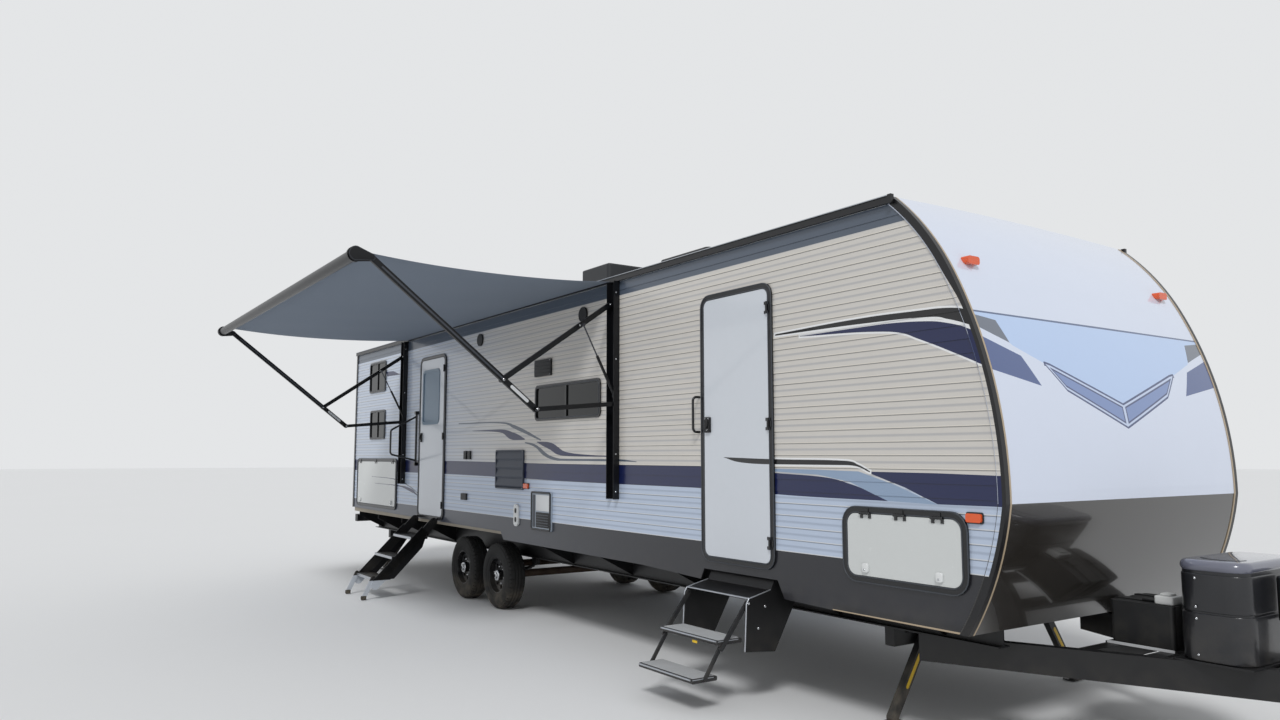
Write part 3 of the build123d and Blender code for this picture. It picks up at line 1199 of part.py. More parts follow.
# Roof: air conditioner shroud, two crank-up vent lids and a covered vent
with BuildPart() as conditioner:
    with BuildSketch(Plane.XY.offset(ROOF_CROWN_Z - ROOF_SINK)):
        with Locations((AC_X, 0)):
            RectangleRounded(AC_SIZE[0], AC_SIZE[1], AC_CORNER)
    with BuildSketch(Plane.XY.offset(ROOF_CROWN_Z + AC_SIZE[2])):
        with Locations((AC_X - AC_LEAN / 2, 0)):
            RectangleRounded(AC_SIZE[0] - 3 * AC_LEAN, AC_SIZE[1] - 2 * AC_LEAN, AC_CORNER / 2)
    loft()
    fillet(conditioner.faces().sort_by(Axis.Z)[-1].edges(), AC_CORNER / 4)
    add(roof.part, mode=Mode.SUBTRACT)
keep(conditioner, "air_conditioner")

with BuildPart() as roof_vents:
    for place, across, length, width, height in ROOF_VENTS:
        with BuildSketch(Plane.XY.offset(ROOF_EDGE_Z)):
            with Locations((place, across)):
                RectangleRounded(length, width, 4 * TRIM_SIDE)
        extrude(amount=ROOF_CROWN_Z - ROOF_EDGE_Z + height)
    fillet(roof_vents.faces().filter_by(Axis.Z).sort_by(Axis.Z)[-3:].edges(), 2 * TRIM_SIDE)
    add(roof.part, mode=Mode.SUBTRACT)
keep(roof_vents, "roof_vents")

# Awning. Each arm works in three lanes side by side: upper link, main arm, lower link with strut
SLOPE = math.radians(ARM_SLOPE)
ARM_END = (ELBOW[0] + ARM_TAIL * math.cos(SLOPE), ELBOW[1] - ARM_TAIL * math.sin(SLOPE))
ARM_HEAD = (ELBOW[0] - ARM_REACH * math.cos(SLOPE), ELBOW[1] + ARM_REACH * math.sin(SLOPE))
UPPER_RUN = math.hypot(UPPER_PIVOT[0] - ELBOW[0], UPPER_PIVOT[1] - ELBOW[1])
# Folded, the arm stands upright on the upper link, and both ends of the lower link must agree
FOLDED_END = (UPPER_PIVOT[0], UPPER_PIVOT[1] - UPPER_RUN - ARM_TAIL)
OPEN_SQUARE = (LOWER_PIVOT_Y - ARM_END[0]) ** 2 + ARM_END[1] ** 2
FOLDED_SQUARE = (LOWER_PIVOT_Y - FOLDED_END[0]) ** 2 + FOLDED_END[1] ** 2
LOWER_PIVOT = (LOWER_PIVOT_Y, (OPEN_SQUARE - FOLDED_SQUARE) / (2 * (ARM_END[1] - FOLDED_END[1])))
STRUT_FOOT = (LOWER_PIVOT_Y, LOWER_PIVOT[1] + STRUT_ABOVE)
UPPER_ANGLE = math.atan2(ELBOW[1] - UPPER_PIVOT[1], ELBOW[0] - UPPER_PIVOT[0])
STRUT_TOP = (
    UPPER_PIVOT[0] + STRUT_ON_LINK * math.cos(UPPER_ANGLE),
    UPPER_PIVOT[1] + STRUT_ON_LINK * math.sin(UPPER_ANGLE),
)
STRUT_RUN = math.hypot(STRUT_TOP[0] - STRUT_FOOT[0], STRUT_TOP[1] - STRUT_FOOT[1])
STRUT_WAY = ((STRUT_TOP[0] - STRUT_FOOT[0]) / STRUT_RUN, (STRUT_TOP[1] - STRUT_FOOT[1]) / STRUT_RUN)
ROLLER = (
    ARM_HEAD[0] - ROLLER_ALONG * math.cos(SLOPE) - ROLLER_OUT * math.sin(SLOPE),
    ARM_HEAD[1] + ROLLER_ALONG * math.sin(SLOPE) - ROLLER_OUT * math.cos(SLOPE),
)
UPPER_LANE = -LANE_STEP - LANE / 2
MAIN_LANE = -LANE / 2
LOWER_LANE = LANE_STEP - LANE / 2

with BuildPart() as channels:
    for place in CHANNEL_X:
        with BuildSketch(Plane.XY.offset(CHANNEL_LOW_Z)):
            with Locations((place, -HALF_WIDTH - CHANNEL_WALL / 2)):
                Rectangle(CHANNEL_WIDTH, CHANNEL_WALL)
            for hand in (-1, 1):
                wall_x = place + hand * (CHANNEL_WIDTH - CHANNEL_WALL) / 2
                with Locations((wall_x, -HALF_WIDTH - CHANNEL_DEPTH / 2)):
                    Rectangle(CHANNEL_WALL, CHANNEL_DEPTH)
        extrude(amount=WALL_TOP_Z - CHANNEL_LOW_Z)
        for pivot, start, reach in (
            (UPPER_PIVOT, -CHANNEL_WIDTH / 2, CHANNEL_WIDTH / 2 + UPPER_LANE + LANE),
            (LOWER_PIVOT, CHANNEL_WIDTH / 2, LOWER_LANE - CHANNEL_WIDTH / 2),
            (STRUT_FOOT, CHANNEL_WIDTH / 2, LOWER_LANE - CHANNEL_WIDTH / 2),
        ):
            with BuildSketch(Plane.YZ.offset(place + start)):
                with Locations(pivot):
                    Circle(PIN_RADIUS)
            extrude(amount=reach)
keep(channels, "awning_channels")

with BuildPart() as upper_links:
    for place in CHANNEL_X:
        with BuildSketch(Plane.YZ.offset(place + UPPER_LANE)):
            link(UPPER_PIVOT, ELBOW, UPPER_WIDTH)
            with Locations(UPPER_PIVOT, ELBOW):
                Circle(PIN_RADIUS + RUN_GAP, mode=Mode.SUBTRACT)
        extrude(amount=LANE)
keep(upper_links, "awning_upper_links")

with BuildPart() as main_arms:
    for place in CHANNEL_X:
        inward = 1 if place < (CHANNEL_X[0] + CHANNEL_X[1]) / 2 else -1
        with BuildSketch(Plane.YZ.offset(place + MAIN_LANE)):
            link(ARM_END, ARM_HEAD, ARM_WIDTH)
            link(ARM_HEAD, ROLLER, ARM_WIDTH)
        extrude(amount=LANE)
        with BuildSketch(Plane.YZ.offset(place + UPPER_LANE)):
            with Locations(ELBOW):
                Circle(PIN_RADIUS)
        extrude(amount=MAIN_LANE - UPPER_LANE)
keep(main_arms, "awning_arms")

with BuildPart() as lower_links:
    for place in CHANNEL_X:
        with BuildSketch(Plane.YZ.offset(place + LOWER_LANE)):
            link(LOWER_PIVOT, ARM_END, LOWER_WIDTH)
            with Locations(LOWER_PIVOT):
                Circle(PIN_RADIUS + RUN_GAP, mode=Mode.SUBTRACT)
        extrude(amount=LANE)
keep(lower_links, "awning_lower_links")

# Gas struts: the barrel turns on its foot pin, the rod slides in it towards the upper link
ROD_START = (
    STRUT_FOOT[0] + STRUT_WAY[0] * (BARREL_LENGTH - ROD_LAP),
    STRUT_FOOT[1] + STRUT_WAY[1] * (BARREL_LENGTH - ROD_LAP),
)
with BuildPart() as barrels:
    for place in CHANNEL_X:
        middle = place + LOWER_LANE + LANE / 2
        along = Plane((middle, *STRUT_FOOT), x_dir=(1, 0, 0), z_dir=(0, *STRUT_WAY))
        with BuildSketch(along):
            Circle(BARREL_RADIUS)
        extrude(amount=BARREL_LENGTH)
        with BuildSketch(along.offset(PIN_RADIUS + BARREL_RADIUS)):
            Circle(ROD_RADIUS + RUN_GAP)
        extrude(amount=BARREL_LENGTH, mode=Mode.SUBTRACT)
        with BuildSketch(Plane.YZ.offset(place + LOWER_LANE)):
            with Locations(STRUT_FOOT):
                Circle(2 * PIN_RADIUS)
        extrude(amount=LANE)
        with BuildSketch(Plane.YZ.offset(place + LOWER_LANE)):
            with Locations(STRUT_FOOT):
                Circle(PIN_RADIUS + RUN_GAP)
        extrude(amount=LANE, mode=Mode.SUBTRACT)
keep(barrels, "strut_barrels")

with BuildPart() as rods:
    for place in CHANNEL_X:
        middle = place + LOWER_LANE + LANE / 2
        along = Plane((middle, *ROD_START), x_dir=(1, 0, 0), z_dir=(0, *STRUT_WAY))
        with BuildSketch(along):
            Circle(ROD_RADIUS)
        extrude(amount=STRUT_RUN - BARREL_LENGTH + ROD_LAP)
        with BuildSketch(Plane.YZ.offset(place + LOWER_LANE)):
            with Locations(STRUT_TOP):
                Circle(BARREL_RADIUS)
        extrude(amount=LANE)
keep(rods, "strut_rods")

with BuildPart() as roller:
    with BuildSketch(Plane.YZ.offset(CHANNEL_X[1] - MAIN_LANE)):
        with Locations(ROLLER):
            Circle(ROLLER_RADIUS)
            Circle(ROLLER_RADIUS - ROLLER_WALL, mode=Mode.SUBTRACT)
    extrude(amount=CHANNEL_X[0] - CHANNEL_X[1] + 2 * MAIN_LANE)
    for start, reach in ((CHANNEL_X[1] - MAIN_LANE, LANE), (CHANNEL_X[0] + MAIN_LANE, -LANE)):
        with BuildSketch(Plane.YZ.offset(start)):
            with Locations(ROLLER):
                Circle(ROLLER_CAP)
        extrude(amount=reach)
keep(roller, "awning_roller")

# Fabric from the rail at the roof edge over the top of the roller
FABRIC_IN = (-HALF_WIDTH - GUTTER - RUN_GAP, AWNING_RAIL_Z)
FABRIC_OUT = (ROLLER[0], ROLLER[1] + ROLLER_RADIUS + RUN_GAP)
FABRIC_MIDDLE = ((FABRIC_IN[0] + FABRIC_OUT[0]) / 2, (FABRIC_IN[1] + FABRIC_OUT[1]) / 2 - FABRIC_SAG)
with BuildPart() as fabric:
    with BuildSketch(Plane.YZ.offset(CHANNEL_X[1] + FABRIC_INSET)):
        with BuildLine():
            ThreePointArc(FABRIC_IN, FABRIC_MIDDLE, FABRIC_OUT)
            Line(FABRIC_OUT, (FABRIC_OUT[0], FABRIC_OUT[1] + FABRIC))
            ThreePointArc(
                (FABRIC_OUT[0], FABRIC_OUT[1] + FABRIC),
                (FABRIC_MIDDLE[0], FABRIC_MIDDLE[1] + FABRIC),
                (FABRIC_IN[0], FABRIC_IN[1] + FABRIC),
            )
            Line((FABRIC_IN[0], FABRIC_IN[1] + FABRIC), FABRIC_IN)
        make_face()
    extrude(amount=CHANNEL_X[0] - CHANNEL_X[1] - 2 * FABRIC_INSET)
keep(fabric, "awning_fabric")

# Front folding steps: the carrier under the floor, and two treads that swing one after the other
with BuildPart() as step_carrier:
    for side in (-1, 1):
        edge = STEP_X + side * STEP_WIDTH / 2
        with BuildSketch(Plane.YZ.offset(edge)):
            with BuildLine():
                Polyline(*[(-HALF_WIDTH - reach, level) for reach, level in STEP_PLATE], close=True)
            make_face()
        extrude(amount=-side * STEP_SIDE)
        with BuildSketch(Plane.YZ.offset(edge)):
            with Locations(STEP_PIVOT):
                Circle(PIN_RADIUS)
        extrude(amount=-side * (STEP_SIDE + STEP_LANE_GAP + STEP_BAR))
    with BuildSketch(Plane.YZ.offset(STEP_X - STEP_WIDTH / 2)):
        with BuildLine():
            Polyline(*[(-HALF_WIDTH - reach, level) for reach, level in STEP_HOOD], close=True)
        make_face()
    extrude(amount=STEP_WIDTH)
keep(step_carrier, "step_carrier")

UPPER_HALF = STEP_WIDTH / 2 - STEP_SIDE - STEP_LANE_GAP
LOWER_HALF = UPPER_HALF - STEP_BAR - STEP_LANE_GAP
for half, pivot, end, tread, arm, pin, name in (
    (UPPER_HALF, STEP_PIVOT, STEP_PIVOT_TWO, TREAD_ONE, STEP_ARM, STEP_PIVOT_TWO, "step_upper"),
    (LOWER_HALF, STEP_PIVOT_TWO, TREAD_TWO, TREAD_TWO, STEP_LOWER_ARM, None, "step_lower"),
):
    with BuildPart() as step:
        for side in (-1, 1):
            with BuildSketch(Plane.YZ.offset(STEP_X + side * half)):
                link(pivot, end, arm)
                with Locations(pivot):
                    Circle(PIN_RADIUS + RUN_GAP, mode=Mode.SUBTRACT)
            extrude(amount=-side * STEP_BAR)
            if pin:
                with BuildSketch(Plane.YZ.offset(STEP_X + side * half)):
                    with Locations(pin):
                        Circle(PIN_RADIUS)
                extrude(amount=-side * (2 * STEP_BAR + STEP_LANE_GAP))
        with BuildSketch(Plane.YZ.offset(STEP_X - half + STEP_BAR / 2)):
            with Locations(tread):
                RectangleRounded(TREAD_DEPTH, TREAD, TREAD / 3)
        extrude(amount=2 * half - STEP_BAR)
    keep(step, name)

# Rear ladder steps: stringers with three treads and the feet, one piece that swings up
with BuildPart() as ladder:
    for side in (-1, 1):
        with BuildSketch(Plane.YZ.offset(LADDER_X + side * LADDER_WIDTH / 2)):
            link(LADDER_PIVOT, LADDER_KNEE, LADDER_STRINGER)
            with Locations(LADDER_PIVOT):
                Circle(PIN_RADIUS + RUN_GAP, mode=Mode.SUBTRACT)
        extrude(amount=-side * LADDER_SIDE)
        with BuildSketch(Plane.YZ.offset(LADDER_X + side * (LADDER_WIDTH / 2 - LADDER_SIDE))):
            link(LADDER_TREADS[2], LADDER_FOOT, LADDER_LEG)
        extrude(amount=-side * LADDER_SIDE)
    for lip in LADDER_TREADS:
        with BuildSketch(Plane.YZ.offset(LADDER_X - LADDER_WIDTH / 2 + LADDER_SIDE / 2)):
            with Locations((lip[0] + LADDER_TREAD_DEPTH / 2, lip[1] - TREAD / 2)):
                RectangleRounded(LADDER_TREAD_DEPTH, TREAD, TREAD / 3)
        extrude(amount=LADDER_WIDTH - LADDER_SIDE)
keep(ladder, "ladder_steps")

# Hand rail behind the rear door: an upright post in two wall blocks, and the loop it carries
with BuildPart() as hand_rail:
    with BuildSketch(Plane.XY.offset(RAIL_Z[0] - RAIL_BLOCK / 2)):
        with Locations((RAIL_HINGE_X, RAIL_HINGE_Y)):
            Circle(RAIL_POST)
    extrude(amount=RAIL_Z[1] - RAIL_Z[0] + RAIL_BLOCK)
    with BuildLine(Plane.YZ.offset(RAIL_HINGE_X)) as rail_path:
        FilletPolyline(*RAIL_LOOP, radius=RAIL_BLOCK)
    with BuildSketch(Plane(rail_path.line @ 0, z_dir=rail_path.line % 0)):
        Circle(RAIL_TUBE)
    sweep()
keep(hand_rail, "hand_rail")

# Corner legs: each swings on a pin of the cross tube that the chassis carries
LEG_NEAR = LEG_TUBE / 2 + STEP_LANE_GAP
for place, row in zip(LEG_X, ("front", "rear")):
    for side, hand in ((-1, "curb"), (1, "road")):
        pivot = (side * LEG_PIVOT[0], LEG_PIVOT[1])
        foot = (side * LEG_FOOT[0], LEG_FOOT[1])
        with BuildPart() as leg:
            with BuildSketch(Plane.YZ.offset(place + LEG_NEAR)):
                link(pivot, foot, LEG_WIDTH)
                with Locations(pivot):
                    Circle(PIN_RADIUS + RUN_GAP, mode=Mode.SUBTRACT)
            extrude(amount=LEG_THICK)
            with BuildSketch(Plane.XY.offset(LEG_GROUND_GAP)):
                with Locations((place + LEG_NEAR + LEG_THICK / 2, foot[0])):
                    RectangleRounded(LEG_PAD[1], LEG_PAD[0], LEG_PAD[2])
            extrude(amount=LEG_PAD[2])
        keep(leg, f"leg_{row}_{hand}")

# All pieces move together so that the origin is the middle of the footprint, on the ground
boxes = [piece.bounding_box() for piece in pieces]
middle_x = (min(box.min.X for box in boxes) + max(box.max.X for box in boxes)) / 2
middle_y = (min(box.min.Y for box in boxes) + max(box.max.Y for box in boxes)) / 2
shift = Pos(-middle_x, -middle_y, -min(box.min.Z for box in boxes))

os.makedirs("parts", exist_ok=True)
for piece in pieces:
    placed = shift * piece
    placed.label = piece.label
    export_step(placed, f"parts/{piece.label}.step")
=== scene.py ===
"""Looks of the travel caravan: finishes, stripes, tyres, awning cloth and small fittings."""

import logging
import math
from collections.abc import Callable, Iterable, Sequence
from dataclasses import dataclass, field
from enum import Enum

import bpy
from mathutils import Matrix, Vector

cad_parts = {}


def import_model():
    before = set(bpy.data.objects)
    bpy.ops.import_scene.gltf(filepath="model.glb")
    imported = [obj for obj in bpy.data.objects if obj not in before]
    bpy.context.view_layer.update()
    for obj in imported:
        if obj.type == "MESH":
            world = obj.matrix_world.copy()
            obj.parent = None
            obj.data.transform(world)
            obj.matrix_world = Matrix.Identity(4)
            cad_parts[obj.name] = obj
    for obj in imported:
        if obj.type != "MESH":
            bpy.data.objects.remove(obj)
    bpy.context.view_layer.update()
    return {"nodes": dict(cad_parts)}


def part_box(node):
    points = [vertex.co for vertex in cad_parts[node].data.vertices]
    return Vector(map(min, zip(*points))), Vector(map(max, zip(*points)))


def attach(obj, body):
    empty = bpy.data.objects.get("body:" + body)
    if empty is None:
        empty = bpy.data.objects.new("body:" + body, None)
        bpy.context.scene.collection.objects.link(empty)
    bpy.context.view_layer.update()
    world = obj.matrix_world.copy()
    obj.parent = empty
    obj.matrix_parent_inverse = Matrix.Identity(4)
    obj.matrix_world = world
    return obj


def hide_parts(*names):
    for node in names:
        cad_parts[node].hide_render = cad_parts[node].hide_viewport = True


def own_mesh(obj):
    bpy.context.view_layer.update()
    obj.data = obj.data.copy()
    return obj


log = logging.getLogger("caravan")

Colour = tuple[float, float, float, float]
Point = tuple[float, float]
Value = bpy.types.NodeSocket | float | tuple


def srgb(red: int, green: int, blue: int) -> Colour:
    """Linear colour of a screen colour given as 0 to 255.

    Args:
        red: red part, 0 to 255.
        green: green part.
        blue: blue part.

    Returns:
        The linear colour, fully opaque.
    """
    parts = [part / 255 for part in (red, green, blue)]
    linear = [p / 12.92 if p <= 0.04045 else ((p + 0.055) / 1.055) ** 2.4 for p in parts]
    return (linear[0], linear[1], linear[2], 1.0)


@dataclass
class Drawing:
    """The construction drawing's millimetres: x back from the nose, y from the middle, z up."""

    origin: Vector = field(default_factory=Vector)

    def read(self) -> None:
        """Takes the origin from the front cap, whose foremost line is x = 0."""
        low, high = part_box("front_cap")
        self.origin = Vector((high.x, (low.y + high.y) / 2, 0.0))

    def at(self, x: float, y: float, z: float) -> Vector:
        """Point of the shared frame, in metres."""
        return Vector((x, y, z)) / 1000 + self.origin


DRAWING = Drawing()
HALF_WIDTH = 1219.0
LEAF_FACE = HALF_WIDTH + 12.5


def rounded(low: Point, high: Point, corner: float, steps: int = 5) -> list[Point]:
    """Outline of a rectangle with rounded corners.

    Args:
        low: corner with the smallest values.
        high: corner with the largest values.
        corner: radius of the corners.
        steps: straight pieces in each corner.

    Returns:
        Points in order round the outline.
    """
    middles = (
        (high[0], high[1], -1, -1), (low[0], high[1], 1, -1),
        (low[0], low[1], 1, 1), (high[0], low[1], -1, 1),
    )
    points = []
    for quarter, (first, second, inward, up) in enumerate(middles):
        for step in range(steps + 1):
            turn = (quarter + step / steps) * math.pi / 2
            points.append((
                first + corner * (inward + math.cos(turn)), second + corner * (up + math.sin(turn))
            ))
    return points


def hull(start: Point, end: Point, first: float, last: float, steps: int = 12) -> list[Point]:
    """Outline of a bar with round ends of two radii, between two points.

    Args:
        start: centre of the first end.
        end: centre of the last end.
        first: radius of the first end.
        last: radius of the last end.
        steps: straight pieces in each end.

    Returns:
        Points in order round the outline.
    """
    way = math.atan2(end[1] - start[1], end[0] - start[0])
    points = []
    for centre, radius, turn in ((start, first, way + math.pi / 2), (end, last, way - math.pi / 2)):
        for step in range(steps + 1):
            angle = turn + math.pi * step / steps
            points.append((centre[0] + radius * math.cos(angle), centre[1] + radius * math.sin(angle)))
    return points


def arc_through(first: Point, second: Point, third: Point) -> tuple[float, float, float]:
    """Centre and radius of the circle through three points.

    Args:
        first: a point of the circle.
        second: another one.
        third: a third one.

    Returns:
        The centre's two values, and the radius.
    """
    spans = [
        (
            end[0] - start[0],
            end[1] - start[1],
            (end[0] ** 2 - start[0] ** 2 + end[1] ** 2 - start[1] ** 2) / 2,
        )
        for start, end in ((first, second), (first, third))
    ]
    (a, b, c), (d, e, f) = spans
    share = a * e - b * d
    x, z = (c * e - b * f) / share, (a * f - c * d) / share
    return x, z, math.hypot(first[0] - x, first[1] - z)


class Board:
    """A node tree, with short calls for the nodes that the finishes use."""

    def __init__(self, tree: bpy.types.NodeTree) -> None:
        """Keeps the tree that the calls add to."""
        self.tree = tree

    def feed(self, socket: bpy.types.NodeSocket, value: Value) -> None:
        """Links a socket or sets its plain value.

        Args:
            socket: the input to feed.
            value: a socket to link, or a plain value.
        """
        if isinstance(value, bpy.types.NodeSocket):
            self.tree.links.new(value, socket)
        else:
            socket.default_value = value

    def node(
        self, kind: str, inputs: dict[str | int, Value] | None = None, **settings: object
    ) -> bpy.types.Node:
        """Adds a node.

        Args:
            kind: Blender's name for the node.
            inputs: values or sockets by input name or number.
            settings: properties of the node itself.

        Returns:
            The new node.
        """
        made = self.tree.nodes.new(kind)
        for key, value in settings.items():
            setattr(made, key, value)
        for key, value in (inputs or {}).items():
            self.feed(made.inputs[key], value)
        return made

    def maths(self, operation: str, *values: Value, clamp: bool = False) -> bpy.types.NodeSocket:
        """Result of a Math node on one to three values."""
        inputs = dict(enumerate(values))
        return self.node("ShaderNodeMath", inputs, operation=operation, use_clamp=clamp).outputs[0]

    def both(self, *masks: Value) -> bpy.types.NodeSocket:
        """Product of several masks.

        Args:
            masks: values from 0 to 1.

        Returns:
            The product's socket.
        """
        result = masks[0]
        for mask in masks[1:]:
            result = self.maths("MULTIPLY", result, mask)
        return result

    def between(self, value: Value, low: float, high: float) -> bpy.types.NodeSocket:
        """One where value lies between two limits, else zero."""
        return self.both(self.maths("GREATER_THAN", value, low), self.maths("LESS_THAN", value, high))

    def mixed(self, share: Value, first: Value, second: Value) -> bpy.types.NodeSocket:
        """First colour where share is zero, second where it is one."""
        inputs = {0: share, 6: first, 7: second}
        return self.node("ShaderNodeMix", inputs, data_type="RGBA").outputs[2]

    def noise(self, vector: Value, scale: Value, detail: float = 2.0) -> bpy.types.NodeSocket:
        """Noise from 0 to 1 over a vector."""
        inputs = {"Vector": vector, "Scale": scale, "Detail": detail}
        return self.node("ShaderNodeTexNoise", inputs).outputs["Fac"]

    def ramp(self, value: Value, low: Value, high: Value) -> bpy.types.NodeSocket:
        """Smooth step of value from 0 at low to 1 at high."""
        inputs = {"Value": value, "From Min": low, "From Max": high}
        return self.node("ShaderNodeMapRange", inputs, interpolation_type="SMOOTHSTEP").outputs[0]

    def place(self) -> bpy.types.NodeSocket:
        """Position on the piece in metres of the shared frame."""
        return self.node("ShaderNodeTexCoord").outputs["Object"]

    def drawn(self) -> tuple[bpy.types.NodeSocket, ...]:
        """Position on the piece in the drawing's millimetres, as x, y and z.

        Returns:
            The sockets of x, y and z.
        """
        moved = self.node(
            "ShaderNodeVectorMath", {0: self.place(), 1: DRAWING.origin}, operation="SUBTRACT"
        )
        scaled = self.node("ShaderNodeVectorMath", {0: moved.outputs[0]}, operation="SCALE")
        scaled.inputs["Scale"].default_value = 1000.0
        parts = self.node("ShaderNodeSeparateXYZ", {0: scaled.outputs[0]})
        return tuple(parts.outputs)

    def curve(self, value: Value, points: Sequence[Point], smooth: bool) -> bpy.types.NodeSocket:
        """Height of a drawn line over value.

        Args:
            value: where along the line.
            points: the line's points, from low to high value.
            smooth: round through the points, or straight between them.

        Returns:
            The line's height there.
        """
        start, end = points[0][0], points[-1][0]
        low = min(point[1] for point in points)
        high = max(point[1] for point in points) + 1e-3
        share = self.node("ShaderNodeMapRange", {0: value, 1: start, 2: end}).outputs[0]
        line = self.node("ShaderNodeFloatCurve", {"Value": share})
        mapping = line.mapping.curves[0]
        while len(mapping.points) < len(points):
            mapping.points.new(0.5, 0.5)
        for knot, (along, level) in zip(mapping.points, points):
            knot.location = ((along - start) / (end - start), (level - low) / (high - low))
            knot.handle_type = "AUTO_CLAMPED" if smooth else "VECTOR"
        line.mapping.update()
        return self.node("ShaderNodeMapRange", {0: line.outputs[0], 3: low, 4: high}).outputs[0]


DUST = srgb(150, 140, 124)


class Effects:
    """Shader groups that more than one finish uses, each built once."""

    made: dict[str, bpy.types.NodeTree] = {}

    @classmethod
    def group(
        cls,
        name: str,
        inputs: dict[str, str],
        outputs: dict[str, str],
        draw: Callable[[Board, dict], dict],
    ) -> bpy.types.NodeTree:
        """Builds a group, or gives the one that is there.

        Args:
            name: the group's name.
            inputs: socket kind by input name.
            outputs: socket kind by output name.
            draw: adds the nodes, from input sockets to output values.

        Returns:
            The node group.
        """
        if name not in cls.made:
            tree = bpy.data.node_groups.new(name, "ShaderNodeTree")
            for socket, kind in inputs.items():
                tree.interface.new_socket(socket, in_out="INPUT", socket_type=f"NodeSocket{kind}")
            for socket, kind in outputs.items():
                tree.interface.new_socket(socket, in_out="OUTPUT", socket_type=f"NodeSocket{kind}")
            board = Board(tree)
            entry = board.node("NodeGroupInput")
            leave = board.node("NodeGroupOutput")
            for socket, value in draw(board, {key: entry.outputs[key] for key in inputs}).items():
                board.feed(leave.inputs[socket], value)
            cls.made[name] = tree
        return cls.made[name]

    @classmethod
    def weather(cls) -> bpy.types.NodeTree:
        """Colour that drifts in broad and fine patches, with dust that gathers low down.

        Returns:
            The group, which gives the colour and how dull it is.
        """

        def draw(board: Board, given: dict) -> dict:
            """Adds the group's nodes.

            Args:
                board: the group's nodes.
                given: its input sockets by name.

            Returns:
                Output values by name.
            """
            place = board.place()
            broad = board.noise(place, given["Patch"], 4.0)
            fine = board.noise(place, board.maths("MULTIPLY", given["Patch"], 14.0), 3.0)
            # Both noises average a half, so the swing averages zero
            swing = board.maths("MULTIPLY_ADD", fine, 0.4, board.maths("MULTIPLY", broad, 0.8))
            swing = board.maths("SUBTRACT", swing, 0.6)
            tone = board.maths("MULTIPLY_ADD", swing, given["Drift"], 1.0)
            toned = board.node("ShaderNodeVectorMath", {0: given["Colour"]}, operation="SCALE")
            board.feed(toned.inputs["Scale"], tone)
            level = board.node("ShaderNodeSeparateXYZ", {0: place}).outputs[2]
            low = board.ramp(level, given["Dust Height"], 0.0)
            streak = board.ramp(board.noise(place, 9.0, 5.0), 0.3, 0.75)
            dust = board.both(low, streak, given["Dust"])
            colour = board.mixed(dust, toned.outputs[0], DUST)
            return {"Colour": colour, "Dull": board.maths("ADD", dust, board.maths("MULTIPLY", fine, 0.12))}

        return cls.group(
            "weather",
            {"Colour": "Color", "Drift": "Float", "Patch": "Float", "Dust": "Float",
             "Dust Height": "Float"},
            {"Colour": "Color", "Dull": "Float"},
            draw,
        )

    @classmethod
    def grain(cls) -> bpy.types.NodeTree:
        """Height of a fine grain, drawn out along an axis where it is brushed or rolled.

        Returns:
            The group, which gives the height.
        """

        def draw(board: Board, given: dict) -> dict:
            """Adds the group's nodes.

            Args:
                board: the group's nodes.
                given: its input sockets by name.

            Returns:
                Output values by name.
            """
            pulled = board.node(
                "ShaderNodeVectorMath", {0: board.place(), 1: given["Stretch"]}, operation="MULTIPLY"
            ).outputs[0]
            return {"Height": board.noise(pulled, given["Size"], 3.0)}

        return cls.group("grain", {"Size": "Float", "Stretch": "Vector"}, {"Height": "Float"}, draw)

    @classmethod
    def weave(cls) -> bpy.types.NodeTree:
        """Threads of a woven cloth that run along x and y.

        Returns:
            The group, which gives the height.
        """

        def draw(board: Board, given: dict) -> dict:
            """Adds the group's nodes.

            Args:
                board: the group's nodes.
                given: its input sockets by name.

            Returns:
                Output values by name.
            """
            parts = board.node("ShaderNodeSeparateXYZ", {0: board.place()}).outputs
            waves = []
            for axis in (0, 1):
                turn = board.maths("MULTIPLY", parts[axis], given["Threads"])
                waves.append(board.maths("ABSOLUTE", board.maths("SINE", turn)))
            return {"Height": board.maths("MAXIMUM", *waves)}

        return cls.group("weave", {"Threads": "Float"}, {"Height": "Float"}, draw)


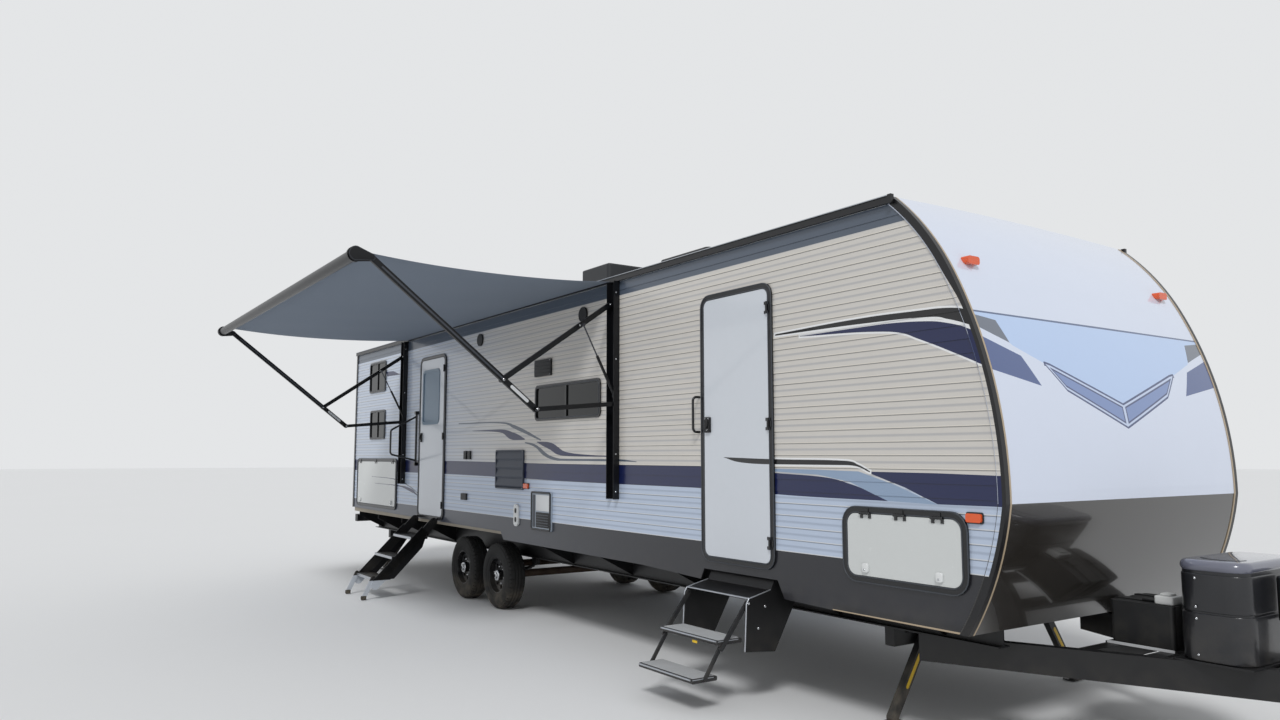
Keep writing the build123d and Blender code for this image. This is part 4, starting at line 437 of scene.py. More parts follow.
@dataclass(frozen=True)
class Finish:
    """One surface: its colour and gloss, how it has aged, and the relief of its grain."""

    name: str
    colour: Colour
    roughness: float = 0.5
    metallic: float = 0.0
    coat: float = 0.0
    specular: float = 0.5
    drift: float = 0.10
    patch: float = 1.5
    dust: float = 0.25
    dust_height: float = 0.9
    grain: float = 350.0
    stretch: tuple[float, float, float] = (1.0, 1.0, 1.0)
    relief: float = 0.0004
    strength: float = 0.25

    def tint(self, board: Board) -> Value:
        """Colour before ageing; finishes with stripes draw them here."""
        return self.colour

    def relief_nodes(self, board: Board) -> bpy.types.NodeSocket:
        """Height of the surface's grain, in metres.

        Args:
            board: the material's nodes.

        Returns:
            The height's socket.
        """
        inputs = {"Size": self.grain, "Stretch": self.stretch}
        return board.node("ShaderNodeGroup", inputs, node_tree=Effects.grain()).outputs["Height"]

    def shader(self, board: Board) -> bpy.types.Node:
        """Builds the surface's nodes.

        Args:
            board: the material's nodes.

        Returns:
            The surface's shader node.
        """
        weather = board.node("ShaderNodeGroup", {
            "Colour": self.tint(board), "Drift": self.drift, "Patch": self.patch, "Dust": self.dust,
            "Dust Height": self.dust_height,
        }, node_tree=Effects.weather()).outputs
        dull = board.maths("MULTIPLY_ADD", weather["Dull"], 0.5, self.roughness - 0.03, clamp=True)
        bump = board.node("ShaderNodeBump", {
            "Height": self.relief_nodes(board), "Strength": self.strength, "Distance": self.relief,
        })
        return board.node("ShaderNodeBsdfPrincipled", {
            "Base Color": weather["Colour"], "Roughness": dull, "Metallic": self.metallic,
            "Coat Weight": self.coat, "Specular IOR Level": self.specular, "Normal": bump.outputs[0],
        })

    def material(self) -> bpy.types.Material:
        """The finish as a material, built once.

        Returns:
            The material.
        """
        ready = bpy.data.materials.get(self.name)
        if ready:
            return ready
        made = bpy.data.materials.new(self.name)
        made.use_nodes = True
        made.node_tree.nodes.clear()
        board = Board(made.node_tree)
        shader = self.shader(board)
        board.node("ShaderNodeOutputMaterial", {"Surface": shader.outputs[0]})
        return made


@dataclass(frozen=True)
class Ribbon:
    """A stripe between an upper and a lower line, in the drawing's millimetres."""

    ink: Colour
    upper: tuple[Point, ...]
    lower: tuple[Point, ...]
    smooth: bool = True

    def mask(self, board: Board, along: Value, level: Value, margin: float = 0.0) -> bpy.types.NodeSocket:
        """One inside the stripe, grown all round by margin.

        Args:
            board: the material's nodes.
            along: place along the stripe.
            level: height.
            margin: how far the stripe is grown.

        Returns:
            The mask's socket.
        """
        top = board.maths("ADD", board.curve(along, self.upper, self.smooth), margin)
        foot = board.maths("SUBTRACT", board.curve(along, self.lower, self.smooth), margin)
        return board.both(
            board.between(along, self.upper[0][0] - margin, self.upper[-1][0] + margin),
            board.maths("GREATER_THAN", level, foot),
            board.maths("LESS_THAN", level, top),
        )


NAVY = srgb(16, 27, 72)
BLACK = srgb(17, 17, 20)
SLATE = srgb(78, 88, 102)
SILVER = srgb(140, 160, 186)
CREAM = srgb(206, 202, 196)
# Painted sky reflection that the laps take low down and toward the rear
SKY_REFLECTION_BLUE = srgb(184, 197, 217)
WHITE = srgb(230, 231, 232)
TAN = srgb(176, 158, 132)
# Painted light on each lap: shade across its roll, shadow in its crease, highlight on its lip
LAP_ROLL_SHADE = srgb(112, 122, 140)
LAP_CREASE_SHADOW = srgb(84, 88, 98)
LAP_LIP_HIGHLIGHT = srgb(236, 230, 216)

LOW_BLACK = Ribbon(
    BLACK,
    ((-2160, 1538), (-1650, 1526), (-1045, 1518), (-960, 1498), (-870, 1460)),
    ((-2160, 1536), (-1935, 1500), (-1650, 1493), (-1060, 1493), (-870, 1454)),
)
REAR_LINE = Ribbon(
    SLATE,
    ((-9635, 1272), (-8664, 1254), (-8234, 1180), (-7898, 1096)),
    ((-9635, 1268), (-8664, 1240), (-8234, 1166), (-7898, 1086)),
)
REAR_FILL = Ribbon(
    NAVY,
    ((-9503, 1184), (-8658, 1180), (-8234, 1156), (-7930, 1072)),
    ((-9503, 1180), (-8658, 1166), (-8234, 1118), (-7930, 1064)),
)


@dataclass(frozen=True)
class SidingFinish(Finish):
    """Enamelled aluminium laps, with painted reflection, shade and highlights on them, and the stripes of
    both long sides.
    """

    keyline: float = 11.0
    lap: float = 75.0
    lap_start: float = 951.0
    # Height, fade, rear run and strength of the painted sky reflection
    band_top: float = 1480.0
    reflection_fade: float = 160.0
    reflection_rear: Point = (-4800.0, -8200.0)
    reflection_share: float = 0.85
    gutter_band: float = 2858.0
    rear_end: float = -10445.0
    # Shares of a lap and strengths of its painted shade, shadow and highlight
    roll_starts: Point = (0.30, 0.46)
    roll_ends: Point = (0.62, 0.50)
    roll_shade_depth: float = 0.34
    crease: Point = (0.90, 0.98)
    crease_shadow_depth: float = 0.55
    lip: Point = (0.10, 0.03)
    lip_highlight_depth: float = 0.5

    def stripes(self) -> list[tuple[Ribbon, bool]]:
        """Stripes from the lowest coat to the top one, and whether each has a white keyline.

        Returns:
            Each stripe, and whether it has a keyline.
        """
        band = Ribbon(
            NAVY,
            ((-10460, 1496), (-7070, 1491), (-3790, 1474), (-2400, 1474), (-1650, 1438), (-1286, 1424),
             (-1026, 1385), (-850, 1334), (-746, 1297)),
            ((-10460, 1344), (-7070, 1343), (-3790, 1322), (-2400, 1320), (-1650, 1303), (-1286, 1298),
             (-1026, 1297), (-850, 1297), (-746, 1296)),
        )
        silver = Ribbon(
            SILVER,
            ((-1700, 1466), (-1285, 1464), (-956, 1458), (-700, 1390), (-410, 1292)),
            ((-1700, 1448), (-1285, 1434), (-1026, 1396), (-746, 1297), (-410, 1291)),
            False,
        )
        block = Ribbon(
            NAVY,
            ((-901, 1458), (-410, 1456), (40, 1448)),
            ((-901, 1457), (-620, 1374), (-410, 1293), (40, 1297)),
            False,
        )
        high_black = Ribbon(
            BLACK,
            ((-1640, 2332), (-883, 2346), (-465, 2336), (-369, 2333), (-130, 2287)),
            ((-1640, 2322), (-884, 2312), (-409, 2292), (-315, 2270), (-130, 2208)),
        )
        swoosh = Ribbon(
            NAVY,
            ((-1416, 2295), (-753, 2293), (-448, 2273), (-316, 2249), (-90, 2166)),
            ((-1416, 2293), (-776, 2252), (-629, 2230), (-510, 2186), (-90, 2004)),
        )
        crest = Ribbon(
            SLATE,
            ((-6760, 1904), (-5619, 1881), (-5376, 1843), (-4842, 1702)),
            ((-6760, 1894), (-5619, 1864), (-5419, 1818), (-4842, 1686)),
        )
        rise = Ribbon(
            NAVY,
            ((-6383, 1813), (-5707, 1812), (-5400, 1772), (-5162, 1710)),
            ((-6383, 1808), (-5706, 1780), (-5393, 1700), (-5162, 1699)),
        )
        fall = Ribbon(
            NAVY,
            ((-4919, 1679), (-4688, 1671), (-4341, 1578), (-3595, 1542)),
            ((-4919, 1672), (-4668, 1604), (-4411, 1546), (-3595, 1538)),
        )
        trough = Ribbon(
            SLATE,
            ((-5161, 1678), (-5018, 1666), (-4464, 1522), (-3477, 1519), (-3249, 1503)),
            ((-5161, 1668), (-5000, 1640), (-4518, 1503), (-3476, 1502), (-3249, 1498)),
        )
        bunk_wedge = Ribbon(
            NAVY,
            ((-9196, 2656), (-8926, 2646), (-8661, 2583)),
            ((-9196, 2650), (-9152, 2592), (-8661, 2580)),
            False,
        )
        return [
            (band, False), (silver, False), (block, False), (LOW_BLACK, True), (swoosh, True),
            (high_black, True), (crest, False), (rise, False), (fall, False), (trough, False),
            (REAR_LINE, False), (REAR_FILL, False), (bunk_wedge, False),
        ]

    def laps(self, board: Board, x: Value, z: Value) -> Value:
        """Colour of the bare laps with painted sky reflection low and to the rear, mid-lap shade, lip
        highlight and crease shadow.

        Args:
            board: the material's nodes.
            x: place along the caravan.
            z: height.

        Returns:
            The colour's socket.
        """
        # Painted sky reflection: bluer below the band and toward the rear
        low = board.ramp(z, self.band_top, self.band_top - self.reflection_fade)
        rear = board.maths("MULTIPLY", board.ramp(x, *self.reflection_rear), self.reflection_share)
        colour = board.mixed(board.maths("MAXIMUM", low, rear), self.colour, SKY_REFLECTION_BLUE)
        rise = board.maths("DIVIDE", board.maths("SUBTRACT", z, self.lap_start), self.lap)
        share = board.maths("FRACT", rise)
        # Painted shade across the middle of each lap
        starts, ends = board.ramp(share, *self.roll_starts), board.ramp(share, *self.roll_ends)
        colour = board.mixed(board.both(starts, ends, self.roll_shade_depth), colour, LAP_ROLL_SHADE)
        # Painted shadow in each lap's crease, under the lap above
        crease = board.both(board.ramp(share, *self.crease), self.crease_shadow_depth)
        colour = board.mixed(crease, colour, LAP_CREASE_SHADOW)
        # Painted highlight along each lap's lower lip
        lip = board.both(board.ramp(share, *self.lip), self.lip_highlight_depth)
        return board.mixed(lip, colour, LAP_LIP_HIGHLIGHT)

    def tint(self, board: Board) -> Value:
        """Laps with a slate band under the gutter and the stripes over them.

        Args:
            board: the material's nodes.

        Returns:
            The colour's socket.
        """
        x, _, z = board.drawn()
        band = board.maths("GREATER_THAN", z, self.gutter_band)
        colour = board.mixed(band, self.laps(board, x, z), SLATE)
        for ribbon, outlined in self.stripes():
            if outlined:
                colour = board.mixed(ribbon.mask(board, x, z, self.keyline), colour, WHITE)
            colour = board.mixed(ribbon.mask(board, x, z), colour, ribbon.ink)
        return board.mixed(board.maths("LESS_THAN", x, self.rear_end), colour, self.laps(board, x, z))


@dataclass(frozen=True)
class MouldingFinish(SidingFinish):
    """Black corner insert beside a painted flange that carries the siding's colours on."""

    insert: float = 18.0
    widening: float = 22.0
    widens: Point = (2300.0, 2560.0)
    lower_arc: tuple[Point, Point, Point] = ((-391, 440), (-91, 950), (0, 1310))
    upper_arc: tuple[Point, Point, Point] = ((0, 1310), (-123, 2139), (-280, 2527))
    flank: float = 7.5
    front: float = -800.0
    tan_inset: float = 26.0
    tan_run: Point = (-700.0, 10.0)

    def within(
        self, board: Board, x: Value, z: Value, arc: tuple[Point, Point, Point], low: float, high: float
    ) -> bpy.types.NodeSocket:
        """One more than the insert's width inside an arc of the front outline.

        Args:
            board: the material's nodes.
            x: place along the caravan.
            z: height.
            arc: three points of the outline's arc.
            low: lowest height of the mask.
            high: its highest height.

        Returns:
            The mask's socket.
        """
        middle_x, middle_z, radius = arc_through(*arc)
        across = board.maths("SUBTRACT", x, middle_x)
        rise = board.maths("SUBTRACT", z, middle_z)
        squares = board.maths("ADD", board.both(across, across), board.both(rise, rise))
        width = board.maths("MULTIPLY_ADD", board.ramp(z, *self.widens), self.widening, self.insert)
        reach = board.maths("ADD", board.maths("SQRT", squares), width)
        return board.both(board.maths("LESS_THAN", reach, radius), board.between(z, low, high))

    def tint(self, board: Board) -> Value:
        """The siding's colours inside the front outline, a tan line to the front, else black.

        Args:
            board: the material's nodes.

        Returns:
            The colour's socket.
        """
        # The flange carries the siding's laps with their painted reflection, shade, shadow and highlights
        painted = super().tint(board)
        x, y, z = board.drawn()
        out = board.maths("ABSOLUTE", y)
        corner = self.lower_arc[-1][1]
        lower = self.within(board, x, z, self.lower_arc, self.lap_start, corner)
        upper = self.within(board, x, z, self.upper_arc, corner, self.widens[1])
        flank = board.maths("GREATER_THAN", out, HALF_WIDTH + self.flank)
        front = board.maths("GREATER_THAN", x, self.front)
        mask = board.both(board.maths("MAXIMUM", lower, upper), flank, front)
        inner = board.maths("LESS_THAN", out, HALF_WIDTH - self.tan_inset)
        edge = board.both(inner, board.between(x, *self.tan_run))
        return board.mixed(mask, board.mixed(edge, BLACK, TAN), painted)


@dataclass(frozen=True)
class SlideFinish(SidingFinish):
    """Slide-out room in the siding's colours and band, with a black lip round its outer face."""

    limits: tuple[float, float, float, float] = (-6292.0, -3008.0, 908.0, 2752.0)
    band: Point = (1344.0, 1492.0)
    reach: float = 860.0

    def tint(self, board: Board) -> Value:
        """Laps and band inside the face's limits, black outside them.

        Args:
            board: the material's nodes.

        Returns:
            The colour's socket.
        """
        x, y, z = board.drawn()
        rear, front, low, high = self.limits
        # The laps carry the siding's painted sky reflection, shade, shadow and highlights
        face = board.mixed(board.between(z, *self.band), self.laps(board, x, z), NAVY)
        outer = board.maths("GREATER_THAN", y, HALF_WIDTH + self.reach)
        inside = board.both(board.between(x, rear, front), board.between(z, low, high))
        lip = board.both(outer, board.maths("SUBTRACT", 1.0, inside))
        return board.mixed(lip, face, BLACK)


@dataclass(frozen=True)
class SkirtFinish(Finish):
    """Dark skirt that pales to the rear, with a bright folded hem along its lowest edge."""

    pale: Colour = srgb(66, 72, 86)
    fade: Point = (-2600.0, -9000.0)
    hem: float = 651.0
    hem_run: Point = (-1180.0, -180.0)
    shade: Point = (700.0, 660.0)

    def tint(self, board: Board) -> Value:
        """Colour from front to rear, and the hem with its shade.

        Args:
            board: the material's nodes.

        Returns:
            The colour's socket.
        """
        x, _, z = board.drawn()
        colour = board.mixed(board.ramp(x, *self.fade), self.colour, self.pale)
        run = board.between(x, *self.hem_run)
        hem = board.both(board.maths("LESS_THAN", z, self.hem), run)
        shade = board.both(board.ramp(z, *self.shade), run, 0.7)
        return board.mixed(hem, board.mixed(shade, colour, BLACK), TAN)


@dataclass(frozen=True)
class CapFinish(Finish):
    """Gelcoat of the moulded front cap with its pale field, chevron and wedges."""

    def stripes(self) -> list[tuple[Ribbon, float]]:
        """Shapes over half the width, and how far each is grown.

        Returns:
            Each shape, and its growth in millimetres.
        """
        field_blue = srgb(184, 206, 240)
        line = srgb(62, 76, 118)
        chevron_top = ((0, 1836), (640, 2034), (684, 2042))
        chevron_foot = ((0, 1713), (540, 1908), (684, 2042))
        return [
            (Ribbon(field_blue, ((0, 2300), (1230, 2300)),
                    ((0, 1836), (681, 2040), (935, 2128), (1100, 2248), (1230, 2300)), False), 0.0),
            (Ribbon(srgb(84, 100, 134), ((0, 2308), (1230, 2306)), ((0, 2296), (1230, 2296)), False), 0.0),
            (Ribbon(line, chevron_top, chevron_foot, False), 12.0),
            (Ribbon(srgb(196, 210, 236), chevron_top, chevron_foot, False), 0.0),
            (Ribbon(line, chevron_top, chevron_foot, False), -12.0),
            (Ribbon(srgb(120, 142, 190), chevron_top, chevron_foot, False), -22.0),
            (Ribbon(srgb(104, 112, 126), ((952, 2142), (1008, 2262), (1160, 2278), (1195, 2281)),
                    ((952, 2141), (1184, 2212), (1195, 2215)), False), 0.0),
            (Ribbon(srgb(72, 92, 142), ((774, 1918), (887, 2074), (1195, 2166), (1230, 2176)),
                    ((774, 1917), (1206, 1991), (1230, 1995)), False), 0.0),
        ]

    def tint(self, board: Board) -> Value:
        """White cap with its shapes, the same on both halves.

        Args:
            board: the material's nodes.

        Returns:
            The colour's socket.
        """
        _, y, z = board.drawn()
        half = board.maths("ABSOLUTE", y)
        colour: Value = self.colour
        for ribbon, margin in self.stripes():
            colour = board.mixed(ribbon.mask(board, half, z, margin), colour, ribbon.ink)
        return colour


class Side(Enum):
    """Which way a mask of a two-coloured piece looks."""

    ABOVE = "GREATER_THAN"
    BELOW = "LESS_THAN"


@dataclass(frozen=True)
class PartedFinish(Finish):
    """A piece in two colours that meet at a plane, given by an axis and a place along it."""

    second: Colour = BLACK
    axis: int = 2
    edge: float = 0.0
    side: Side = Side.BELOW
    mirrored: bool = False
    ribbons: tuple[Ribbon, ...] = ()

    def tint(self, board: Board) -> Value:
        """First colour with its stripes on the door side, and the second on its side of the plane.

        Args:
            board: the material's nodes.

        Returns:
            The colour's socket.
        """
        x, y, z = place = board.drawn()
        colour: Value = self.colour
        for ribbon in self.ribbons:
            mask = board.both(ribbon.mask(board, x, z), board.maths("LESS_THAN", y, 0.0))
            colour = board.mixed(mask, colour, ribbon.ink)
        along = place[self.axis]
        if self.mirrored:
            along = board.maths("ABSOLUTE", along)
        return board.mixed(board.maths(self.side.value, along, self.edge), colour, self.second)


@dataclass(frozen=True)
class BoxedFinish(Finish):
    """A piece with a second colour inside limits along x and z."""

    second: Colour = BLACK
    limits: tuple[float, float, float, float] = (0.0, 0.0, 0.0, 0.0)

    def tint(self, board: Board) -> Value:
        """First colour, and the second inside the limits on the door side.

        Args:
            board: the material's nodes.

        Returns:
            The colour's socket.
        """
        x, y, z = board.drawn()
        rear, front, low, high = self.limits
        inside = board.both(
            board.between(x, rear, front), board.between(z, low, high), board.maths("LESS_THAN", y, 0.0)
        )
        return board.mixed(inside, self.colour, self.second)


@dataclass(frozen=True)
class ClothFinish(Finish):
    """Woven awning cloth with lengthwise stripes that fade into each other."""

    pale: Colour = srgb(72, 83, 104)
    broad_turn: float = 0.0088
    narrow_turn: float = 0.0503
    threads: float = 3900.0

    def tint(self, board: Board) -> Value:
        """Dark cloth with broad and narrow paler stripes.

        Args:
            board: the material's nodes.

        Returns:
            The colour's socket.
        """
        _, y, _ = board.drawn()
        wave = board.maths("SINE", board.maths("MULTIPLY", y, self.broad_turn))
        fine = board.maths("SINE", board.maths("MULTIPLY", y, self.narrow_turn))
        broad = board.ramp(wave, 0.2, 0.9)
        narrow = board.both(board.ramp(fine, 0.6, 0.8), 0.5)
        return board.mixed(board.maths("MAXIMUM", broad, narrow), self.colour, self.pale)

    def relief_nodes(self, board: Board) -> bpy.types.NodeSocket:
        """Threads of the cloth.

        Args:
            board: the material's nodes.

        Returns:
            The height's socket.
        """
        inputs = {"Threads": self.threads}
        return board.node("ShaderNodeGroup", inputs, node_tree=Effects.weave()).outputs["Height"]


@dataclass(frozen=True)
class GlassFinish(Finish):
    """Tinted glass or a coloured lens."""

    clear: float = 0.6
    index: float = 1.5

    def shader(self, board: Board) -> bpy.types.Node:
        """Tinted surface that lets some light through.

        Args:
            board: the material's nodes.

        Returns:
            The surface's shader node.
        """
        surface = super().shader(board)
        board.feed(surface.inputs["Transmission Weight"], self.clear)
        board.feed(surface.inputs["IOR"], self.index)
        return surface


@dataclass(frozen=True)
class LensFinish(GlassFinish):
    """Marker lamp lens: amber, and red at the rear."""

    rear: Colour = srgb(176, 22, 14)
    rear_wall: float = -10000.0

    def tint(self, board: Board) -> Value:
        """Amber, or red behind the rear wall."""
        x, _, _ = board.drawn()
        return board.mixed(board.maths("LESS_THAN", x, self.rear_wall), self.colour, self.rear)


class Coat(Enum):
    """Every finish of the caravan."""

    SIDING = SidingFinish("siding_enamel", CREAM, 0.32, coat=0.25, drift=0.10, patch=0.8,
                          grain=240.0, stretch=(0.05, 0.05, 1.0), relief=0.0008, strength=0.3)
    CAP = CapFinish("cap_gelcoat", srgb(214, 222, 239), 0.16, coat=0.6, drift=0.05, patch=0.5,
                    dust=0.1, grain=6.0, relief=0.003, strength=0.08)
    SHEET = Finish("lower_front_sheet", srgb(44, 41, 38), 0.17, coat=0.8, drift=0.16, patch=0.7,
                   dust=0.12, grain=3.0, relief=0.002, strength=0.08)
    SKIRT = SkirtFinish("skirt_enamel", srgb(32, 33, 39), 0.34, coat=0.3, drift=0.22, patch=1.2,
                        dust=0.3, dust_height=0.9, grain=4.0, relief=0.003, strength=0.15)
    MOULDING = MouldingFinish("moulding_vinyl", CREAM, 0.3, drift=0.12, grain=500.0)
    LEAF = PartedFinish("door_leaf_gelcoat", srgb(208, 213, 220), 0.24, coat=0.4, drift=0.06,
                        grain=90.0, relief=0.0005, strength=0.12, second=BLACK, axis=1,
                        edge=LEAF_FACE, side=Side.ABOVE, mirrored=True, ribbons=(LOW_BLACK,))
    HATCH = PartedFinish("hatch_leaf_gelcoat", srgb(207, 210, 209), 0.26, coat=0.35, drift=0.06,
                         grain=90.0, relief=0.0005, strength=0.12, second=BLACK, axis=1,
                         edge=LEAF_FACE, side=Side.ABOVE, mirrored=True,
                         ribbons=(REAR_LINE, REAR_FILL))
    FRAME = Finish("opening_frame_enamel", srgb(16, 17, 20), 0.3, coat=0.2, drift=0.25)
    BEAD = Finish("frame_seal_rubber", srgb(58, 62, 68), 0.42, drift=0.2, grain=500.0)
    WALL = Finish("inner_wall_board", srgb(150, 142, 128), 0.6, drift=0.12, dust=0.0)
    ROOF = Finish("roof_membrane", srgb(222, 222, 218), 0.62, drift=0.2, patch=1.0, grain=160.0,
                  relief=0.0012, strength=0.35)
    FLOOR = Finish("underfloor_sheet", srgb(24, 24, 25), 0.7, drift=0.4, patch=2.0)
    STEEL = Finish("chassis_enamel", srgb(15, 15, 17), 0.42, drift=0.35, patch=3.0, dust=0.14,
                   dust_height=0.6, grain=120.0, relief=0.0006)
    RUST = Finish("raw_steel", srgb(76, 60, 50), 0.7, metallic=0.5, drift=0.6, patch=9.0, grain=80.0)
    TYRE = Finish("tyre_rubber", srgb(20, 20, 20), 0.78, drift=0.3, patch=5.0, dust=0.4,
                  dust_height=0.35, grain=260.0, relief=0.0008, strength=0.5)
    RIM = Finish("rim_enamel", srgb(20, 20, 22), 0.28, coat=0.4, drift=0.3, patch=6.0, dust=0.4,
                 dust_height=0.4)
    CHROME = Finish("bright_metal", srgb(205, 207, 210), 0.16, metallic=1.0, drift=0.1, grain=200.0,
                    dust=0.05)
    ALUMINIUM = Finish("brushed_aluminium", srgb(192, 196, 202), 0.34, metallic=0.85, drift=0.12,
                       stretch=(0.04, 1.0, 1.0), grain=900.0, dust=0.15)
    TANK = Finish("tank_cover_plastic", srgb(27, 28, 32), 0.3, coat=0.3, drift=0.2, patch=3.0,
                  grain=300.0, relief=0.0006, strength=0.2)
    LID = Finish("tank_lid_plastic", srgb(104, 106, 120), 0.2, coat=0.7, drift=0.15, patch=2.0,
                 dust=0.05, grain=200.0, relief=0.0005, strength=0.15)
    PLASTIC = Finish("black_plastic", srgb(22, 23, 25), 0.5, drift=0.25, patch=4.0, grain=700.0,
                     relief=0.0005, strength=0.4)
    VENT = BoxedFinish("vent_plastic", srgb(20, 21, 24), 0.5, drift=0.2, patch=4.0, grain=700.0,
                       second=srgb(62, 68, 80), limits=(-5790.0, -5140.0, 1200.0, 1625.0))
    SERVICE = BoxedFinish("service_plastic", srgb(220, 222, 222), 0.36, drift=0.08, grain=500.0,
                          second=srgb(150, 160, 172), limits=(-4990.0, -4590.0, 850.0, 1235.0))
    GLASS = GlassFinish("tinted_glass", srgb(6, 10, 9), 0.03, drift=0.1, dust=0.0,
                        grain=3.0, relief=0.002, strength=0.05, clear=0.12, index=1.45)
    FROSTED = GlassFinish("frosted_glass", srgb(118, 140, 160), 0.3, drift=0.06, dust=0.0,
                          grain=900.0, relief=0.0002, strength=0.15, clear=0.15, index=1.45)
    LENS = LensFinish("lamp_lens", srgb(242, 92, 20), 0.12, coat=0.7, drift=0.12, dust=0.05,
                      grain=140.0, stretch=(1.0, 1.0, 0.02), relief=0.002, strength=0.5, clear=0.15)
    JACK = PartedFinish("jack_enamel", srgb(24, 25, 27), 0.35, drift=0.25, patch=4.0,
                        second=srgb(176, 178, 180), axis=2, edge=329.0, side=Side.BELOW)
    AWNING = Finish("awning_enamel", srgb(15, 16, 19), 0.34, coat=0.05, specular=0.3, drift=0.2,
                    dust=0.0, stretch=(1.0, 0.05, 0.05), grain=500.0)
    # Grey of the arms' groove strips, partly a painted highlight along each arm; head rims and heater parts
    # share it
    GROOVE = Finish("arm_groove_enamel", srgb(60, 64, 72), 0.36, drift=0.15, dust=0.0, grain=500.0)
    CLOTH = ClothFinish("awning_cloth", srgb(40, 48, 64), 0.8, specular=0.05, drift=0.12, patch=1.2,
                        dust=0.0, relief=0.0006, strength=0.4)
    STRUT_ROD = Finish("strut_rod_steel", srgb(70, 72, 78), 0.2, metallic=0.8, drift=0.08, dust=0.0)
    TREAD = Finish("step_enamel", srgb(30, 31, 34), 0.42, drift=0.25, patch=6.0, dust=0.15)
    TREAD_TOP = Finish("tread_top_coating", srgb(176, 178, 180), 0.6, drift=0.2, patch=7.0,
                       dust=0.1, grain=420.0, relief=0.0012, strength=0.6)
    LADDER = PartedFinish("ladder_enamel", srgb(16, 16, 18), 0.4, drift=0.25, patch=5.0, grain=300.0,
                          dust=0.1, second=srgb(184, 190, 198), axis=2, edge=200.0, side=Side.BELOW)
    LEG = Finish("leg_enamel", srgb(22, 22, 24), 0.5, drift=0.4, patch=6.0, dust=0.4, dust_height=0.5)
    YELLOW = Finish("yellow_strip", srgb(226, 186, 20), 0.4, drift=0.2, patch=12.0, dust=0.1)
    BLANK = Finish("blank_plate", srgb(206, 208, 210), 0.4, drift=0.08, grain=400.0, dust=0.0)
    SLIDE = SlideFinish("slide_room_enamel", CREAM, 0.34, coat=0.2, drift=0.1, grain=240.0)
    SHROUD = BoxedFinish("shroud_plastic", srgb(214, 215, 214), 0.45, drift=0.1, grain=300.0,
                         second=srgb(34, 36, 40), limits=(-4660.0, -4140.0, 3040.0, 3300.0))
    AC_SHELL = Finish("cooler_shell_plastic", srgb(26, 28, 31), 0.45, drift=0.15, grain=300.0)


NODE_COATS: dict[str, Coat] = {
    "siding": Coat.SIDING, "front_cap": Coat.CAP, "front_panel": Coat.SHEET, "skirts": Coat.SKIRT,
    "mouldings": Coat.MOULDING, "door_front": Coat.LEAF, "door_rear": Coat.LEAF,
    "hatch_curb": Coat.HATCH, "hatch_road": Coat.HATCH, "hatch_kitchen": Coat.HATCH,
    "door_frames": Coat.FRAME, "window_frames": Coat.FRAME, "wall_brackets": Coat.FRAME,
    "hand_rail": Coat.FRAME, "wall_curb": Coat.WALL, "wall_road": Coat.WALL, "wall_rear": Coat.WALL,
    "bay_liners": Coat.WALL, "roof": Coat.ROOF, "floor": Coat.FLOOR, "chassis": Coat.STEEL,
    "drawbar": Coat.STEEL, "springs": Coat.STEEL, "axles": Coat.RUST, "tank_cover": Coat.TANK,
    "battery_boxes": Coat.PLASTIC, "vents": Coat.VENT, "roof_vents": Coat.SHROUD,
    "service_doors": Coat.SERVICE, "window_panes": Coat.GLASS, "door_window": Coat.FROSTED,
    "slide_window": Coat.GLASS, "lamps": Coat.LENS, "tongue_jack": Coat.JACK,
    "awning_channels": Coat.AWNING, "awning_upper_links": Coat.AWNING, "awning_arms": Coat.AWNING,
    "awning_lower_links": Coat.AWNING, "awning_roller": Coat.AWNING, "awning_fabric": Coat.CLOTH,
    "strut_barrels": Coat.AWNING, "strut_rods": Coat.STRUT_ROD, "step_carrier": Coat.STEEL,
    "step_upper": Coat.TREAD, "step_lower": Coat.TREAD, "ladder_steps": Coat.LADDER,
    "slide_room": Coat.SLIDE, "air_conditioner": Coat.AC_SHELL,
}


# A bolt head's outline as shares of its radius: along its axis, and out from it
BOLT_RISE = 0.64
BOLT_PROFILE: tuple[Point, ...] = (
    (-0.1, 0.0), (-0.1, 1.0), (0.25, 1.0), (0.5, 0.86), (BOLT_RISE, 0.5), (BOLT_RISE, 0.36), (0.4, 0.3),
    (0.4, 0.0),
)


